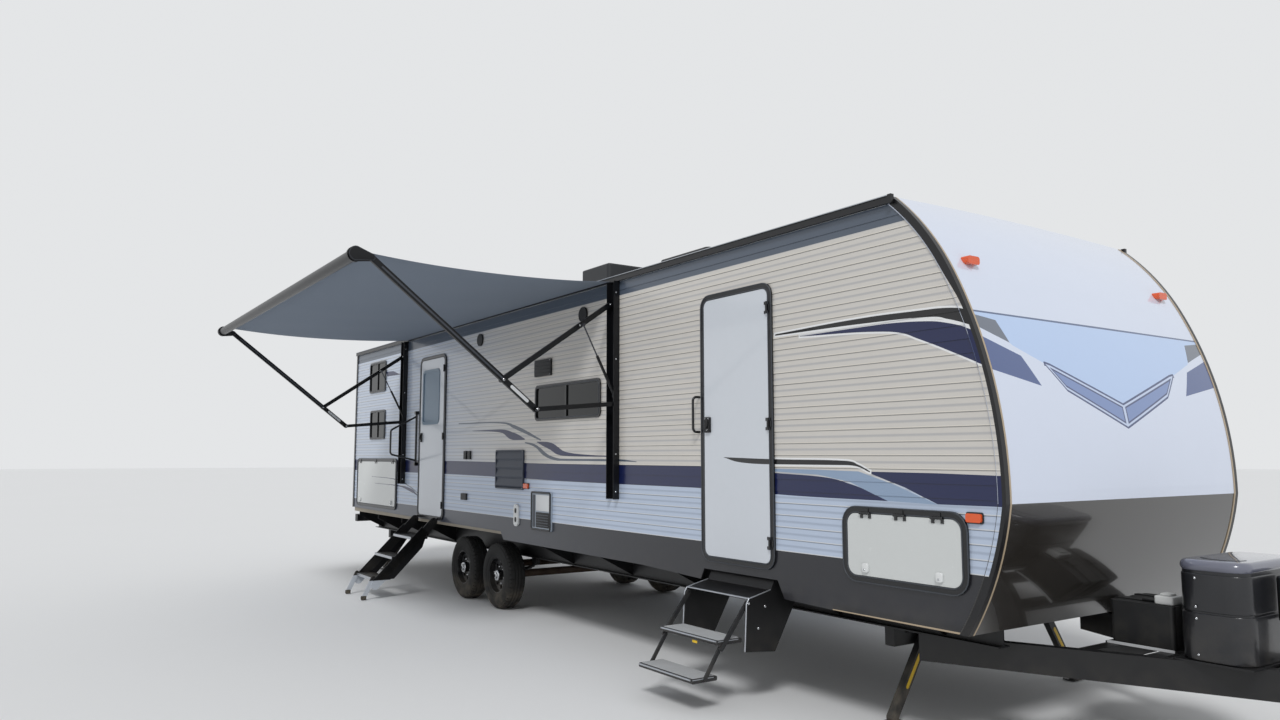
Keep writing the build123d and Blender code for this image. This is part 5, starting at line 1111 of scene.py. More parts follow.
class Bench:
    """Modelling by Blender's own operators, with everything else put down first."""

    @staticmethod
    def clear() -> None:
        """Puts every object down and leaves edit mode."""
        if bpy.context.object and bpy.context.object.mode != "OBJECT":
            bpy.ops.object.mode_set(mode="OBJECT")
        bpy.ops.object.select_all(action="DESELECT")

    @staticmethod
    def take(*pieces: bpy.types.Object) -> bpy.types.Object:
        """Picks pieces up, the first as the active one.

        Args:
            pieces: the pieces to pick up.

        Returns:
            The active piece.
        """
        Bench.clear()
        for piece in pieces:
            piece.select_set(True)
        bpy.context.view_layer.objects.active = pieces[0]
        return pieces[0]

    @staticmethod
    def settle(name: str) -> bpy.types.Object:
        """Names the active piece and moves its place into its mesh.

        Args:
            name: the piece's new name.

        Returns:
            The active piece.
        """
        piece = bpy.context.object
        piece.name = piece.data.name = name
        bpy.ops.object.transform_apply(location=True, rotation=True, scale=True)
        return piece

    @staticmethod
    def edit(pick: Callable[[bpy.types.MeshPolygon], bool] | None = None) -> None:
        """Opens the active mesh with the faces picked, or all of them.

        Args:
            pick: says whether a face is picked.
        """
        mesh = bpy.context.object.data
        bpy.ops.object.mode_set(mode="EDIT")
        bpy.ops.mesh.select_mode(type="FACE")
        bpy.ops.mesh.select_all(action="SELECT" if pick is None else "DESELECT")
        if pick is not None:
            bpy.ops.object.mode_set(mode="OBJECT")
            for face in mesh.polygons:
                face.select = pick(face)
            bpy.ops.object.mode_set(mode="EDIT")

    @staticmethod
    def close() -> None:
        """Back to object mode."""
        bpy.ops.object.mode_set(mode="OBJECT")

    @staticmethod
    def finish(piece: bpy.types.Object, *modifiers: tuple[str, dict]) -> bpy.types.Object:
        """Adds modifiers one after another and applies each.

        Args:
            piece: the piece to shape.
            modifiers: kind and settings of each modifier.

        Returns:
            The shaped piece.
        """
        Bench.take(piece)
        for kind, settings in modifiers:
            made = piece.modifiers.new(kind.lower(), kind)
            for key, value in settings.items():
                setattr(made, key, value)
            bpy.ops.object.modifier_apply(modifier=made.name)
        return piece

    @staticmethod
    def rims(axis: int) -> None:
        """Opens the active mesh with the edges picked that lie across an axis.

        Args:
            axis: number of the axis.
        """
        mesh = bpy.context.object.data
        bpy.ops.object.mode_set(mode="EDIT")
        bpy.ops.mesh.select_mode(type="EDGE")
        bpy.ops.mesh.select_all(action="DESELECT")
        bpy.ops.object.mode_set(mode="OBJECT")
        for edge in mesh.edges:
            first, last = (mesh.vertices[number].co for number in edge.vertices)
            edge.select = abs(first[axis] - last[axis]) < 1e-6
        bpy.ops.object.mode_set(mode="EDIT")

    @staticmethod
    def slab(
        name: str, outline: Sequence[Point], axis: int, start: float, end: float, edge: float = 1.5,
        steps: int = 2,
    ) -> bpy.types.Object:
        """Plate of any outline with eased rims, in the drawing's millimetres.

        Args:
            name: the piece's name.
            outline: points of the outline over the two other axes.
            axis: number of the axis that the plate's thickness runs along.
            start: where the thickness starts.
            end: where it ends.
            edge: how far the rims are eased.
            steps: steps of the easing.

        Returns:
            The closed plate.
        """
        Bench.clear()
        bpy.ops.mesh.primitive_circle_add(vertices=len(outline), radius=1.0, fill_type="NGON")
        piece = bpy.context.object
        for vertex, (first, second) in zip(piece.data.vertices, outline):
            place = [first, second]
            place.insert(axis, start)
            vertex.co = DRAWING.at(*place)
        shift = [0.0, 0.0, 0.0]
        shift[axis] = (end - start) / 1000
        Bench.edit()
        bpy.ops.mesh.extrude_region_move(TRANSFORM_OT_translate={"value": shift})
        bpy.ops.mesh.select_all(action="SELECT")
        bpy.ops.mesh.normals_make_consistent(inside=False)
        Bench.close()
        if edge:
            Bench.rims(axis)
            bpy.ops.mesh.bevel(offset=edge / 1000, segments=steps, affect="EDGES", clamp_overlap=True)
            Bench.close()
        return Bench.settle(name)

    @staticmethod
    def tube(
        name: str, points: Sequence[tuple[float, float, float]], radius: float, closed: bool = False
    ) -> bpy.types.Object:
        """Round bar through points of the drawing.

        Args:
            name: the piece's name.
            points: the bar's line, in the drawing's millimetres.
            radius: the bar's radius in millimetres.
            closed: whether the bar is a ring.

        Returns:
            The bar as a mesh.
        """
        Bench.clear()
        bpy.ops.curve.primitive_nurbs_path_add()
        piece = bpy.context.object
        curve = piece.data
        curve.splines.clear()
        curve.dimensions = "3D"
        curve.bevel_depth, curve.bevel_resolution, curve.use_fill_caps = radius / 1000, 2, True
        line = curve.splines.new("POLY")
        line.points.add(len(points) - 1)
        for knot, point in zip(line.points, points):
            knot.co = (*DRAWING.at(*point), 1.0)
        line.use_cyclic_u = closed
        bpy.ops.object.convert(target="MESH")
        return Bench.smooth(Bench.settle(name), 50.0)

    @staticmethod
    def joined(name: str, pieces: Sequence[bpy.types.Object]) -> bpy.types.Object:
        """Several pieces as one mesh.

        Args:
            name: the joined piece's name.
            pieces: the pieces to join.

        Returns:
            The joined piece.
        """
        Bench.take(*pieces)
        if len(pieces) > 1:
            bpy.ops.object.join()
        piece = bpy.context.object
        piece.name = piece.data.name = name
        return piece

    @staticmethod
    def bolts(
        name: str, radius: float, facing: tuple[float, float, float],
        places: Iterable[tuple[float, float, float]],
    ) -> bpy.types.Object:
        """Domed bolt heads with a recess.

        Args:
            name: the joined piece's name.
            radius: radius of a head in millimetres.
            facing: direction that the heads look in.
            places: middles of their seats, in the drawing's millimetres.

        Returns:
            All heads as one mesh.
        """
        size = radius / 1000
        profile = [(along * size, out * size) for along, out in BOLT_PROFILE]
        model = Bench.lathe("bolt_model", profile, Vector(), Vector(facing), 12)
        heads = Bench.copies(name, model, [Matrix.Translation(DRAWING.at(*place)) for place in places])
        return Bench.smooth(heads, 40.0)

    @staticmethod
    def lathe(
        name: str, profile: Sequence[Point], centre: Vector, axis: Vector, steps: int = 32
    ) -> bpy.types.Object:
        """Turned piece.

        Args:
            name: the piece's name.
            profile: distance along the axis and radius, in metres.
            centre: point on the axis.
            axis: direction of the axis.
            steps: facets round it.

        Returns:
            The turned piece with closed ends where the profile meets the axis.
        """
        Bench.clear()
        axis = axis.normalized()
        out = axis.orthogonal().normalized()
        bpy.ops.mesh.primitive_circle_add(vertices=max(len(profile), 3), radius=0.01)
        piece = bpy.context.object
        mesh = piece.data
        for vertex, (along, radius) in zip(mesh.vertices, profile):
            vertex.co = centre + axis * along + out * radius
        piece.location = (0.0, 0.0, 0.0)
        bpy.ops.object.mode_set(mode="EDIT")
        bpy.ops.mesh.select_all(action="SELECT")
        bpy.ops.mesh.spin(steps=steps, angle=math.tau, center=centre, axis=axis)
        bpy.ops.mesh.select_all(action="SELECT")
        bpy.ops.mesh.remove_doubles(threshold=1e-5)
        bpy.ops.mesh.normals_make_consistent(inside=False)
        bpy.ops.object.mode_set(mode="OBJECT")
        return Bench.settle(name)

    @staticmethod
    def copies(
        name: str, model: bpy.types.Object, places: Iterable[Matrix], keep: bool = False
    ) -> bpy.types.Object:
        """Joined copies of a model, each with its own mesh, at the given places.

        Args:
            name: the joined piece's name.
            model: the piece to copy.
            places: where each copy goes.
            keep: whether the model stays.

        Returns:
            All copies as one mesh.
        """
        made = []
        for place in places:
            copy = model.copy()
            copy.data = model.data.copy()
            bpy.context.scene.collection.objects.link(copy)
            copy.data.transform(place)
            if place.determinant() < 0:
                copy.data.flip_normals()
            made.append(copy)
        Bench.take(*made)
        if len(made) > 1:
            bpy.ops.object.join()
        if not keep:
            bpy.data.objects.remove(model)
        return Bench.settle(name)

    @staticmethod
    def smooth(piece: bpy.types.Object, degrees: float = 35.0) -> bpy.types.Object:
        """Smooth shading between faces that meet at less than an angle.

        Args:
            piece: the piece to shade.
            degrees: the angle where edges turn sharp.

        Returns:
            The same piece.
        """
        Bench.take(piece)
        bpy.ops.object.shade_smooth_by_angle(angle=math.radians(degrees))
        return piece


@dataclass
class Dresser:
    """Puts finished pieces on the caravan and reports them."""

    triangles: int = 0

    def wear(
        self,
        piece: bpy.types.Object,
        coat: Coat,
        body: str,
        replaces: Sequence[str] = (),
    ) -> bpy.types.Object:
        """Gives a piece its finish and the body that it moves with.

        Args:
            piece: the finished piece.
            coat: its finish.
            body: the body that carries it.
            replaces: nodes that it stands in for.

        Returns:
            The same piece.
        """
        piece.data.materials.clear()
        piece.data.materials.append(coat.value.material())
        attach(piece, body)
        if replaces:
            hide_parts(*replaces)
        faces = sum(len(face.vertices) - 2 for face in piece.data.polygons)
        self.triangles += faces
        log.info("%s on %s: %d triangles", piece.name, body, faces)
        return piece

    def group(
        self,
        name: str,
        pieces: Sequence[bpy.types.Object],
        coat: Coat,
        body: str,
        slot: str,
        smooth: bool = False,
    ) -> None:
        """Joins pieces and puts them on a body as one.

        Args:
            name: the joined piece's name.
            pieces: the pieces to join.
            coat: their finish.
            body: the body that carries them.
            slot: not used.
            smooth: whether their rims are shaded smooth.
        """
        piece = Bench.joined(name, pieces)
        self.wear(Bench.smooth(piece) if smooth else piece, coat, body)

    def bolt(
        self,
        name: str,
        radius: float,
        facing: tuple[float, float, float],
        places: Iterable[tuple[float, float, float]],
        body: str = "body",
    ) -> None:
        """Puts bright bolt or screw heads on a body.

        Args:
            name: the joined piece's name.
            radius: radius of a head in millimetres.
            facing: direction that the heads look in.
            places: middles of their seats, in the drawing's millimetres.
            body: the body that carries them.
        """
        self.wear(Bench.bolts(name, radius, facing, places), Coat.CHROME, body)

    def dress_nodes(self, nodes: dict[str, bpy.types.Object]) -> None:
        """Gives every carried-over node its finish.

        Args:
            nodes: the nodes by name.
        """
        for name, node in nodes.items():
            prefix = name.split("_")[0]
            coat = NODE_COATS.get(name) or {"tyre": Coat.TYRE, "rim": Coat.RIM, "leg": Coat.LEG}[prefix]
            node.data.materials.clear()
            node.data.materials.append(coat.value.material())


DRESSER = Dresser()


# Half of the tyre's section in metres: across from its middle, and out from the axle
TYRE_SECTION: tuple[Point, ...] = (
    (0.0, 0.3235), (0.004, 0.3235), (0.004, 0.3315), (0.030, 0.3312), (0.030, 0.3232), (0.038, 0.3232),
    (0.038, 0.3308), (0.066, 0.3292), (0.076, 0.3245), (0.084, 0.3130), (0.088, 0.3020), (0.0925, 0.2990),
    (0.0985, 0.2800), (0.1010, 0.2620), (0.1022, 0.2560), (0.1008, 0.2380), (0.0968, 0.2180),
    (0.0935, 0.2150), (0.0900, 0.1980), (0.0870, 0.1830), (0.0800, 0.1778), (0.0680, 0.1790),
    (0.0880, 0.2400), (0.0820, 0.2900), (0.0600, 0.3120), (0.0, 0.3150),
)
CAP_SECTION: tuple[Point, ...] = (
    (0.079, 0.0545), (0.083, 0.052), (0.083, 0.034), (0.096, 0.031), (0.0985, 0.026), (0.1, 0.0),
)
VALVE_SECTION: tuple[Point, ...] = ((0.02, 0.0), (0.02, 0.005), (0.05, 0.0045), (0.052, 0.0))


@dataclass
class RunningGear:
    """Treaded tyres, wheel nuts and bright centre caps."""

    axles: tuple[float, float] = (-5986.0, -6826.0)
    track: float = 1017.5
    radius: float = 331.5
    steps: int = 144
    tread_floor: float = 0.3125
    groove_lip: float = 0.0012
    groove_depth: float = 0.006
    rib: Point = (0.041, 0.066)
    shoulder: Point = (0.066, 0.084)
    valve: tuple[float, float, float] = (0.146, 0.0, 0.02)
    valve_lean: tuple[float, float, float] = (-0.3, 1.0, 0.0)
    nut: float = 0.0105
    nut_height: float = 0.022
    nut_lip: float = 0.0022
    nut_crown: float = 0.006
    nut_circle: float = 0.085
    nut_seat: float = 0.031

    def tyre(self) -> bpy.types.Object:
        """One tyre about the y axis at the origin, with grooves, ribs and cut shoulders.

        Returns:
            The tyre.
        """
        mirrored = [(-across, radius) for across, radius in reversed(TYRE_SECTION[:-1])]
        profile = [*TYRE_SECTION, *mirrored]
        piece = Bench.lathe("tyre_model", profile[:-1], Vector(), Vector((0, 1, 0)), self.steps)
        Bench.take(piece)

        def cut(face: bpy.types.MeshPolygon) -> bool:
            """Picks the faces of the cross grooves.

            Args:
                face: a face of the tyre.

            Returns:
                Whether it is cut in.
            """
            centre, across = face.center, abs(face.center.y)
            reach = math.hypot(centre.x, centre.z)
            step = round((math.atan2(centre.z, centre.x) % math.tau) / math.tau * self.steps - 0.5)
            if reach < self.tread_floor or abs(face.normal.y) > 0.94:
                return False
            if self.shoulder[0] < across < self.shoulder[1]:
                return step % 3 == 0
            return self.rib[0] < across < self.rib[1] and step % 6 == 0

        Bench.edit(cut)
        bpy.ops.mesh.inset(thickness=self.groove_lip, depth=-self.groove_depth, use_individual=True)
        Bench.close()
        return Bench.smooth(piece, 30.0)

    def nuts(self) -> bpy.types.Object:
        """Six wheel nuts, a centre cap and a valve for a wheel whose outside looks along +y.

        Returns:
            All of them as one mesh.
        """
        Bench.clear()
        bpy.ops.mesh.primitive_cylinder_add(vertices=6, radius=self.nut, depth=self.nut_height)
        nut = bpy.context.object
        Bench.edit(lambda face: face.normal.z > 0.9)
        bpy.ops.mesh.inset(thickness=self.nut_lip, depth=0.0)
        bpy.ops.mesh.extrude_region_move(TRANSFORM_OT_translate={"value": (0, 0, self.nut_crown)})
        bpy.ops.transform.resize(value=(0.6, 0.6, 1.0))
        Bench.close()
        Bench.settle("nut")
        turn = Matrix.Rotation(-math.pi / 2, 4, "X")
        places = [
            Matrix.Rotation(math.radians(60 * count + 15), 4, "Y")
            @ Matrix.Translation((0.0, self.nut_seat, self.nut_circle)) @ turn
            for count in range(6)
        ]
        nuts = Bench.copies("nuts", nut, places)
        cap = Bench.lathe("cap", CAP_SECTION, Vector(), Vector((0, 1, 0)))
        valve = Bench.lathe("valve", VALVE_SECTION, Vector(self.valve), Vector(self.valve_lean), 10)
        Bench.take(nuts, cap, valve)
        bpy.ops.object.join()
        return Bench.smooth(nuts)

    def build(self) -> None:
        """Four tyres and four sets of nuts, each riding on its wheel."""
        tyre, nuts = self.tyre(), self.nuts()
        for row, x in zip(("front", "rear"), self.axles):
            for side, hand in ((-1, "curb"), (1, "road")):
                where = Matrix.Translation(DRAWING.at(x, side * self.track, self.radius))
                facing = where @ Matrix.Rotation(0.0 if side > 0 else math.pi, 4, "Z")
                name = f"{row}_{hand}"
                made = Bench.copies(f"tread_{name}", tyre, [facing], keep=True)
                DRESSER.wear(made, Coat.TYRE, f"wheel_{name}", [f"tyre_{name}"])
                made = Bench.copies(f"nuts_{name}", nuts, [facing], keep=True)
                DRESSER.wear(made, Coat.CHROME, f"wheel_{name}")
        bpy.data.objects.remove(tyre)
        bpy.data.objects.remove(nuts)


@dataclass
class Awning:
    """The cloth between the gutter rail and the roller."""

    sag: float = 0.052
    ripple: float = 0.003
    waves: float = 31.0
    lean: float = 5.0
    rail_drop: float = 0.009
    roller_drop: float = 0.0065
    thickness: float = 0.0015
    slack: float = 1.003
    folded: float = 0.06

    def cloth(self) -> bpy.types.Object:
        """One sheet that hangs a little in its middle and rests on the roller.

        Returns:
            The sheet.
        """
        low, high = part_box("awning_fabric")
        width, depth = high.x - low.x, high.y - low.y
        Bench.clear()
        bpy.ops.mesh.primitive_grid_add(x_subdivisions=96, y_subdivisions=48, size=1.0)
        sheet = bpy.context.object
        for vertex in sheet.data.vertices:
            across, out = vertex.co.x + 0.5, 0.5 - vertex.co.y
            level = high.z - self.rail_drop * (1 - out) - self.roller_drop * out
            dip = self.sag * 4 * out * (1 - out)
            wave = self.ripple * math.sin(out * math.pi) * math.sin(across * self.waves + self.lean * out)
            vertex.co = (low.x + across * width, high.y - out * depth, level - dip + wave)
        sheet = Bench.settle("awning_cloth")
        walls = {"thickness": self.thickness, "offset": 0.0}
        return Bench.smooth(Bench.finish(sheet, ("SOLIDIFY", walls)), 60)

    def build(self) -> None:
        """Hangs the cloth on the body and gives it its own mesh."""
        cloth = DRESSER.wear(self.cloth(), Coat.CLOTH, "body", ["awning_fabric"])
        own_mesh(cloth)


@dataclass
class AwningArms:
    """Head covers, grooves, bolts and plates of the awning's arms and channels."""

    channels: tuple[float, float] = (-3552.0, -8444.0)
    elbow: Point = (-2228.0, 2120.0)
    arm_end: Point = (-1952.9, 1903.6)
    arm_head: Point = (-3262.2, 2933.8)
    roller: Point = (-3372.1, 2947.8)
    upper_pivot: Point = (-1258.0, 2790.0)
    lower_pivot: Point = (-1250.0, 1966.9)
    strut_top: Point = (-1547.6, 2590.0)
    main_face: float = 13.0
    outer_face: float = 45.0
    lane_gap: float = 6.0
    neck: float = 26.0
    head: float = 54.0
    cover: float = 5.0
    rim_inset: Point = (4.0, 6.0)
    groove: Point = (0.22, 0.94)
    flange: Point = (0.20, 0.96)
    flange_drop: float = 19.0
    plate: Point = (0.06, 0.16)
    bolt_proud: float = 2.5
    bolt_levels: tuple[float, ...] = (1260.0, 1560.0, 2330.0, 2880.0)
    channel_side: Point = (55.0, -1252.0)

    def along(self, share: float, drop: float = 0.0) -> Point:
        """Point on the arm's middle line, or a drop below it.

        Args:
            share: how far along the arm, from 0 at its lower end to 1 at its head.
            drop: distance from the middle line.

        Returns:
            The point over y and z.
        """
        run = math.dist(self.arm_end, self.arm_head)
        way = [(end - start) / run for start, end in zip(self.arm_end, self.arm_head)]
        return (
            self.arm_end[0] + share * run * way[0] - drop * way[1],
            self.arm_end[1] + share * run * way[1] + drop * way[0],
        )

    def strip(
        self, name: str, span: Point, drop: float, width: float, face: float, proud: float
    ) -> bpy.types.Object:
        """Flat strip with round ends that lies along the arm, on a face across x.

        Args:
            name: the strip's name.
            span: shares of the arm where it starts and ends.
            drop: its distance from the arm's middle line.
            width: its width in millimetres.
            face: place of its seat along x.
            proud: how far it stands out, with the sign of the way it looks.

        Returns:
            The strip.
        """
        start, end = (self.along(share, drop) for share in span)
        return Bench.slab(name, hull(start, end, width / 2, width / 2, 6), 0, face, face + proud, 0.8)

    def heads(self, name: str, faces: Sequence[tuple[int, float]]) -> None:
        """Covers on both faces of an arm's head, with a rim round each.

        Args:
            name: which arm, front or rear.
            faces: which way each face looks, and its place along x.
        """
        outline = hull(self.arm_head, self.roller, self.neck, self.head)
        covers = [
            Bench.slab(f"cover_{side}", outline, 0, face, face + side * self.cover, 2.0)
            for side, face in faces
        ]
        where = ("awning_arms", "awning_black")
        DRESSER.group(f"awning_head_covers_{name}", covers, Coat.AWNING, *where, smooth=True)
        neck, head = self.neck - self.rim_inset[0], self.head - self.rim_inset[1]
        outline = hull(self.arm_head, self.roller, neck, head)
        rims = []
        for side, face in faces:
            line = [(face + side * self.cover, *point) for point in outline]
            rims.append(Bench.tube(f"rim_{side}", line, 1.6, closed=True))
        DRESSER.group(f"awning_head_rims_{name}", rims, Coat.GROOVE, *where)

    def beams(self, name: str, faces: Sequence[tuple[int, float]]) -> None:
        """Groove between two flanges on both faces of an arm, its grey partly a painted highlight, and a
        blank plate near its end.

        Args:
            name: which arm, front or rear.
            faces: which way each face looks, and its place along x.
        """
        # The groove strip's grey stands partly for a painted highlight along the arm
        grooves = [
            self.strip(f"groove_{side}", self.groove, 0.0, 13.0, face, side * 1.6) for side, face in faces
        ]
        where = ("awning_arms", "awning_black")
        DRESSER.group(f"awning_arm_grooves_{name}", grooves, Coat.GROOVE, *where)
        flanges = [
            self.strip(f"flange_{side}_{drop}", self.flange, drop, 3.0, face, side * 2.4)
            for side, face in faces for drop in (-self.flange_drop, self.flange_drop)
        ]
        DRESSER.group(f"awning_arm_flanges_{name}", flanges, Coat.AWNING, *where)
        side, face = faces[0]
        plate = self.strip(f"awning_arm_plate_{name}", self.plate, 0.0, 26.0, face, side * 1.5)
        DRESSER.wear(plate, Coat.BLANK, "awning_arms")

    def bolts(self, name: str, x: float) -> None:
        """Bolt heads at an arm's pivots, low enough to clear the next lane, and in its channel.

        Args:
            name: which arm, front or rear.
            x: middle of its channel.
        """
        inner, outer = x - self.main_face - self.lane_gap, x + self.outer_face
        seats = (
            ("elbow", "awning_arms", x + self.main_face, self.elbow, 11.0),
            ("arm_end", "awning_lower_links", outer, self.arm_end, 11.0),
            ("lower_pivot", "awning_lower_links", outer, self.lower_pivot, 10.0),
            ("upper_pivot", "awning_upper_links", inner, self.upper_pivot, 10.0),
            ("strut_top", "awning_upper_links", inner, self.strut_top, 7.0),
        )
        for place, body, face, point, radius in seats:
            seat = face + self.bolt_proud - BOLT_RISE * radius
            DRESSER.bolt(f"awning_bolt_{place}_{name}", radius, (1, 0, 0), [(seat, *point)], body)
        side, y = self.channel_side
        places = [(x + side, y, level) for level in self.bolt_levels]
        DRESSER.bolt(f"channel_bolts_{name}", 7.0, (1, 0, 0), places)

    def build(self) -> None:
        """Dresses both arms."""
        for name, x in zip(("front", "rear"), self.channels):
            faces = ((1, x + self.main_face), (-1, x - self.main_face))
            self.heads(name, faces)
            self.beams(name, faces)
            self.bolts(name, x)


@dataclass(frozen=True)
class Opening:
    """Limits of an opening in a long wall, its corner radius and its side."""

    name: str
    rear: float
    front: float
    low: float
    high: float
    corner: float
    side: int = -1
    face: float = 1231.0

    def loop(self, grow: float, proud: float = 0.0) -> list[tuple[float, float, float]]:
        """Points round the opening, moved out by grow, on the frame's face.

        Args:
            grow: how far the points move out.
            proud: how far they stand off the face.

        Returns:
            The points in the drawing's millimetres.
        """
        outline = rounded(
            (self.rear - grow, self.low - grow), (self.front + grow, self.high + grow), self.corner + grow
        )
        return [(x, self.side * (self.face + proud), z) for x, z in outline]


@dataclass
class Openings:
    """Seals round the doors, hatches and windows, and their latches and screws."""

    leaves: tuple[Opening, ...] = (
        Opening("door_front", -2369, -1701, 861, 2645, 50),
        Opening("door_rear", -7872, -7160, 861, 2677, 50),
        Opening("hatch_curb", -1036, -262, 872, 1220, 60),
        Opening("hatch_road", -1036, -262, 872, 1220, 60, side=1),
        Opening("hatch_kitchen", -10226, -8706, 905, 1470, 30),
    )
    windows: tuple[Opening, ...] = (
        Opening("kitchen", -4943, -3777, 1869, 2201, 60),
        Opening("bunk_high_curb", -9845, -9187, 2399, 2813, 60),
        Opening("bunk_low_curb", -9783, -9171, 1765, 2157, 60),
        Opening("bunk_high_road", -9845, -9187, 2399, 2813, 60, side=1),
        Opening("bunk_low_road", -9783, -9171, 1765, 2157, 60, side=1),
        Opening("front_road", -1950, -1300, 1900, 2400, 60, side=1),
        Opening("middle_road", -8150, -7600, 2150, 2550, 60, side=1),
    )
    seal: float = 4.0
    rim: float = 38.0
    frame_edge: float = 6.0
    window_edge: float = -20.0
    latch_z: float = 1763.0
    latch_inset: float = 45.0
    latch_face: float = 1245.0
    latch_half: Point = (26.0, 50.0)
    thumb_inset: float = 135.0
    thumb_level: float = 45.0
    thumb_half: Point = (21.0, 26.0)
    thumb_proud: float = 17.0

    def seals(self) -> None:
        """Rubber bead on each frame's outer edge and on its inner one."""
        beads = [
            Bench.tube(f"bead_{opening.name}_{grow:.0f}", opening.loop(grow), self.seal, closed=True)
            for opening in self.leaves for grow in (self.frame_edge, self.rim)
        ]
        beads += [
            Bench.tube(f"bead_{opening.name}", opening.loop(self.window_edge), self.seal, closed=True)
            for opening in self.windows
        ]
        DRESSER.group("opening_seals", beads, Coat.BEAD, "body", "opening_frame")

    def door_latch(self, leaf: Opening) -> None:
        """Escutcheon with its curved paddle, lock and screws.

        Args:
            leaf: the door.
        """
        x, face = leaf.rear + self.latch_inset, leaf.side * self.latch_face
        half, rise = self.latch_half
        low, high = self.latch_z - rise, self.latch_z + rise
        plate = rounded((x - half, low), (x + half, high), 9)
        paddle = rounded((x - 17, low + 34), (x + 17, high - 8), 12)
        grip = rounded((x - 10, low + 24), (x + 10, low + 60), 8)
        pieces = [
            Bench.slab("escutcheon", plate, 1, face, face - 4, 1.5),
            Bench.slab("paddle", paddle, 1, face - 4, face - 15, 5.0, 4),
            Bench.slab("grip", grip, 1, face - 12, face - 19, 3.0, 3),
        ]
        DRESSER.group(f"latch_{leaf.name}", pieces, Coat.PLASTIC, leaf.name, "fitting_black", smooth=True)
        places = [(x, face - 4, low + 14), (x - 18, face - 4, high - 8), (x + 18, face - 4, high - 8)]
        DRESSER.bolt(f"latch_screws_{leaf.name}", 5.0, (0, leaf.side, 0), places, leaf.name)

    def hatch_latches(self, leaf: Opening) -> None:
        """Two pale thumb latches with their locks along the lower edge.

        Args:
            leaf: the hatch.
        """
        middle, half = (leaf.rear + leaf.front) / 2, (leaf.front - leaf.rear) / 2
        level, face = leaf.low + self.thumb_level, leaf.side * leaf.face
        top = face + leaf.side * self.thumb_proud
        wide, tall = self.thumb_half
        grips, locks = [], []
        for place in (-1, 1):
            x = middle + place * (half - self.thumb_inset)
            outline = rounded((x - wide, level - tall), (x + wide, level + tall), 12)
            grips.append(Bench.slab(f"grip_{place}", outline, 1, face, top, 4.0, 3))
            locks.append((x, top, level - 9))
        DRESSER.group(f"latch_{leaf.name}", grips, Coat.SERVICE, leaf.name, "service_white", smooth=True)
        DRESSER.bolt(f"lock_{leaf.name}", 6.0, (0, leaf.side, 0), locks, leaf.name)

    def build(self) -> None:
        """Dresses all openings."""
        self.seals()
        for leaf in self.leaves:
            if leaf.name.startswith("door"):
                self.door_latch(leaf)
            else:
                self.hatch_latches(leaf)


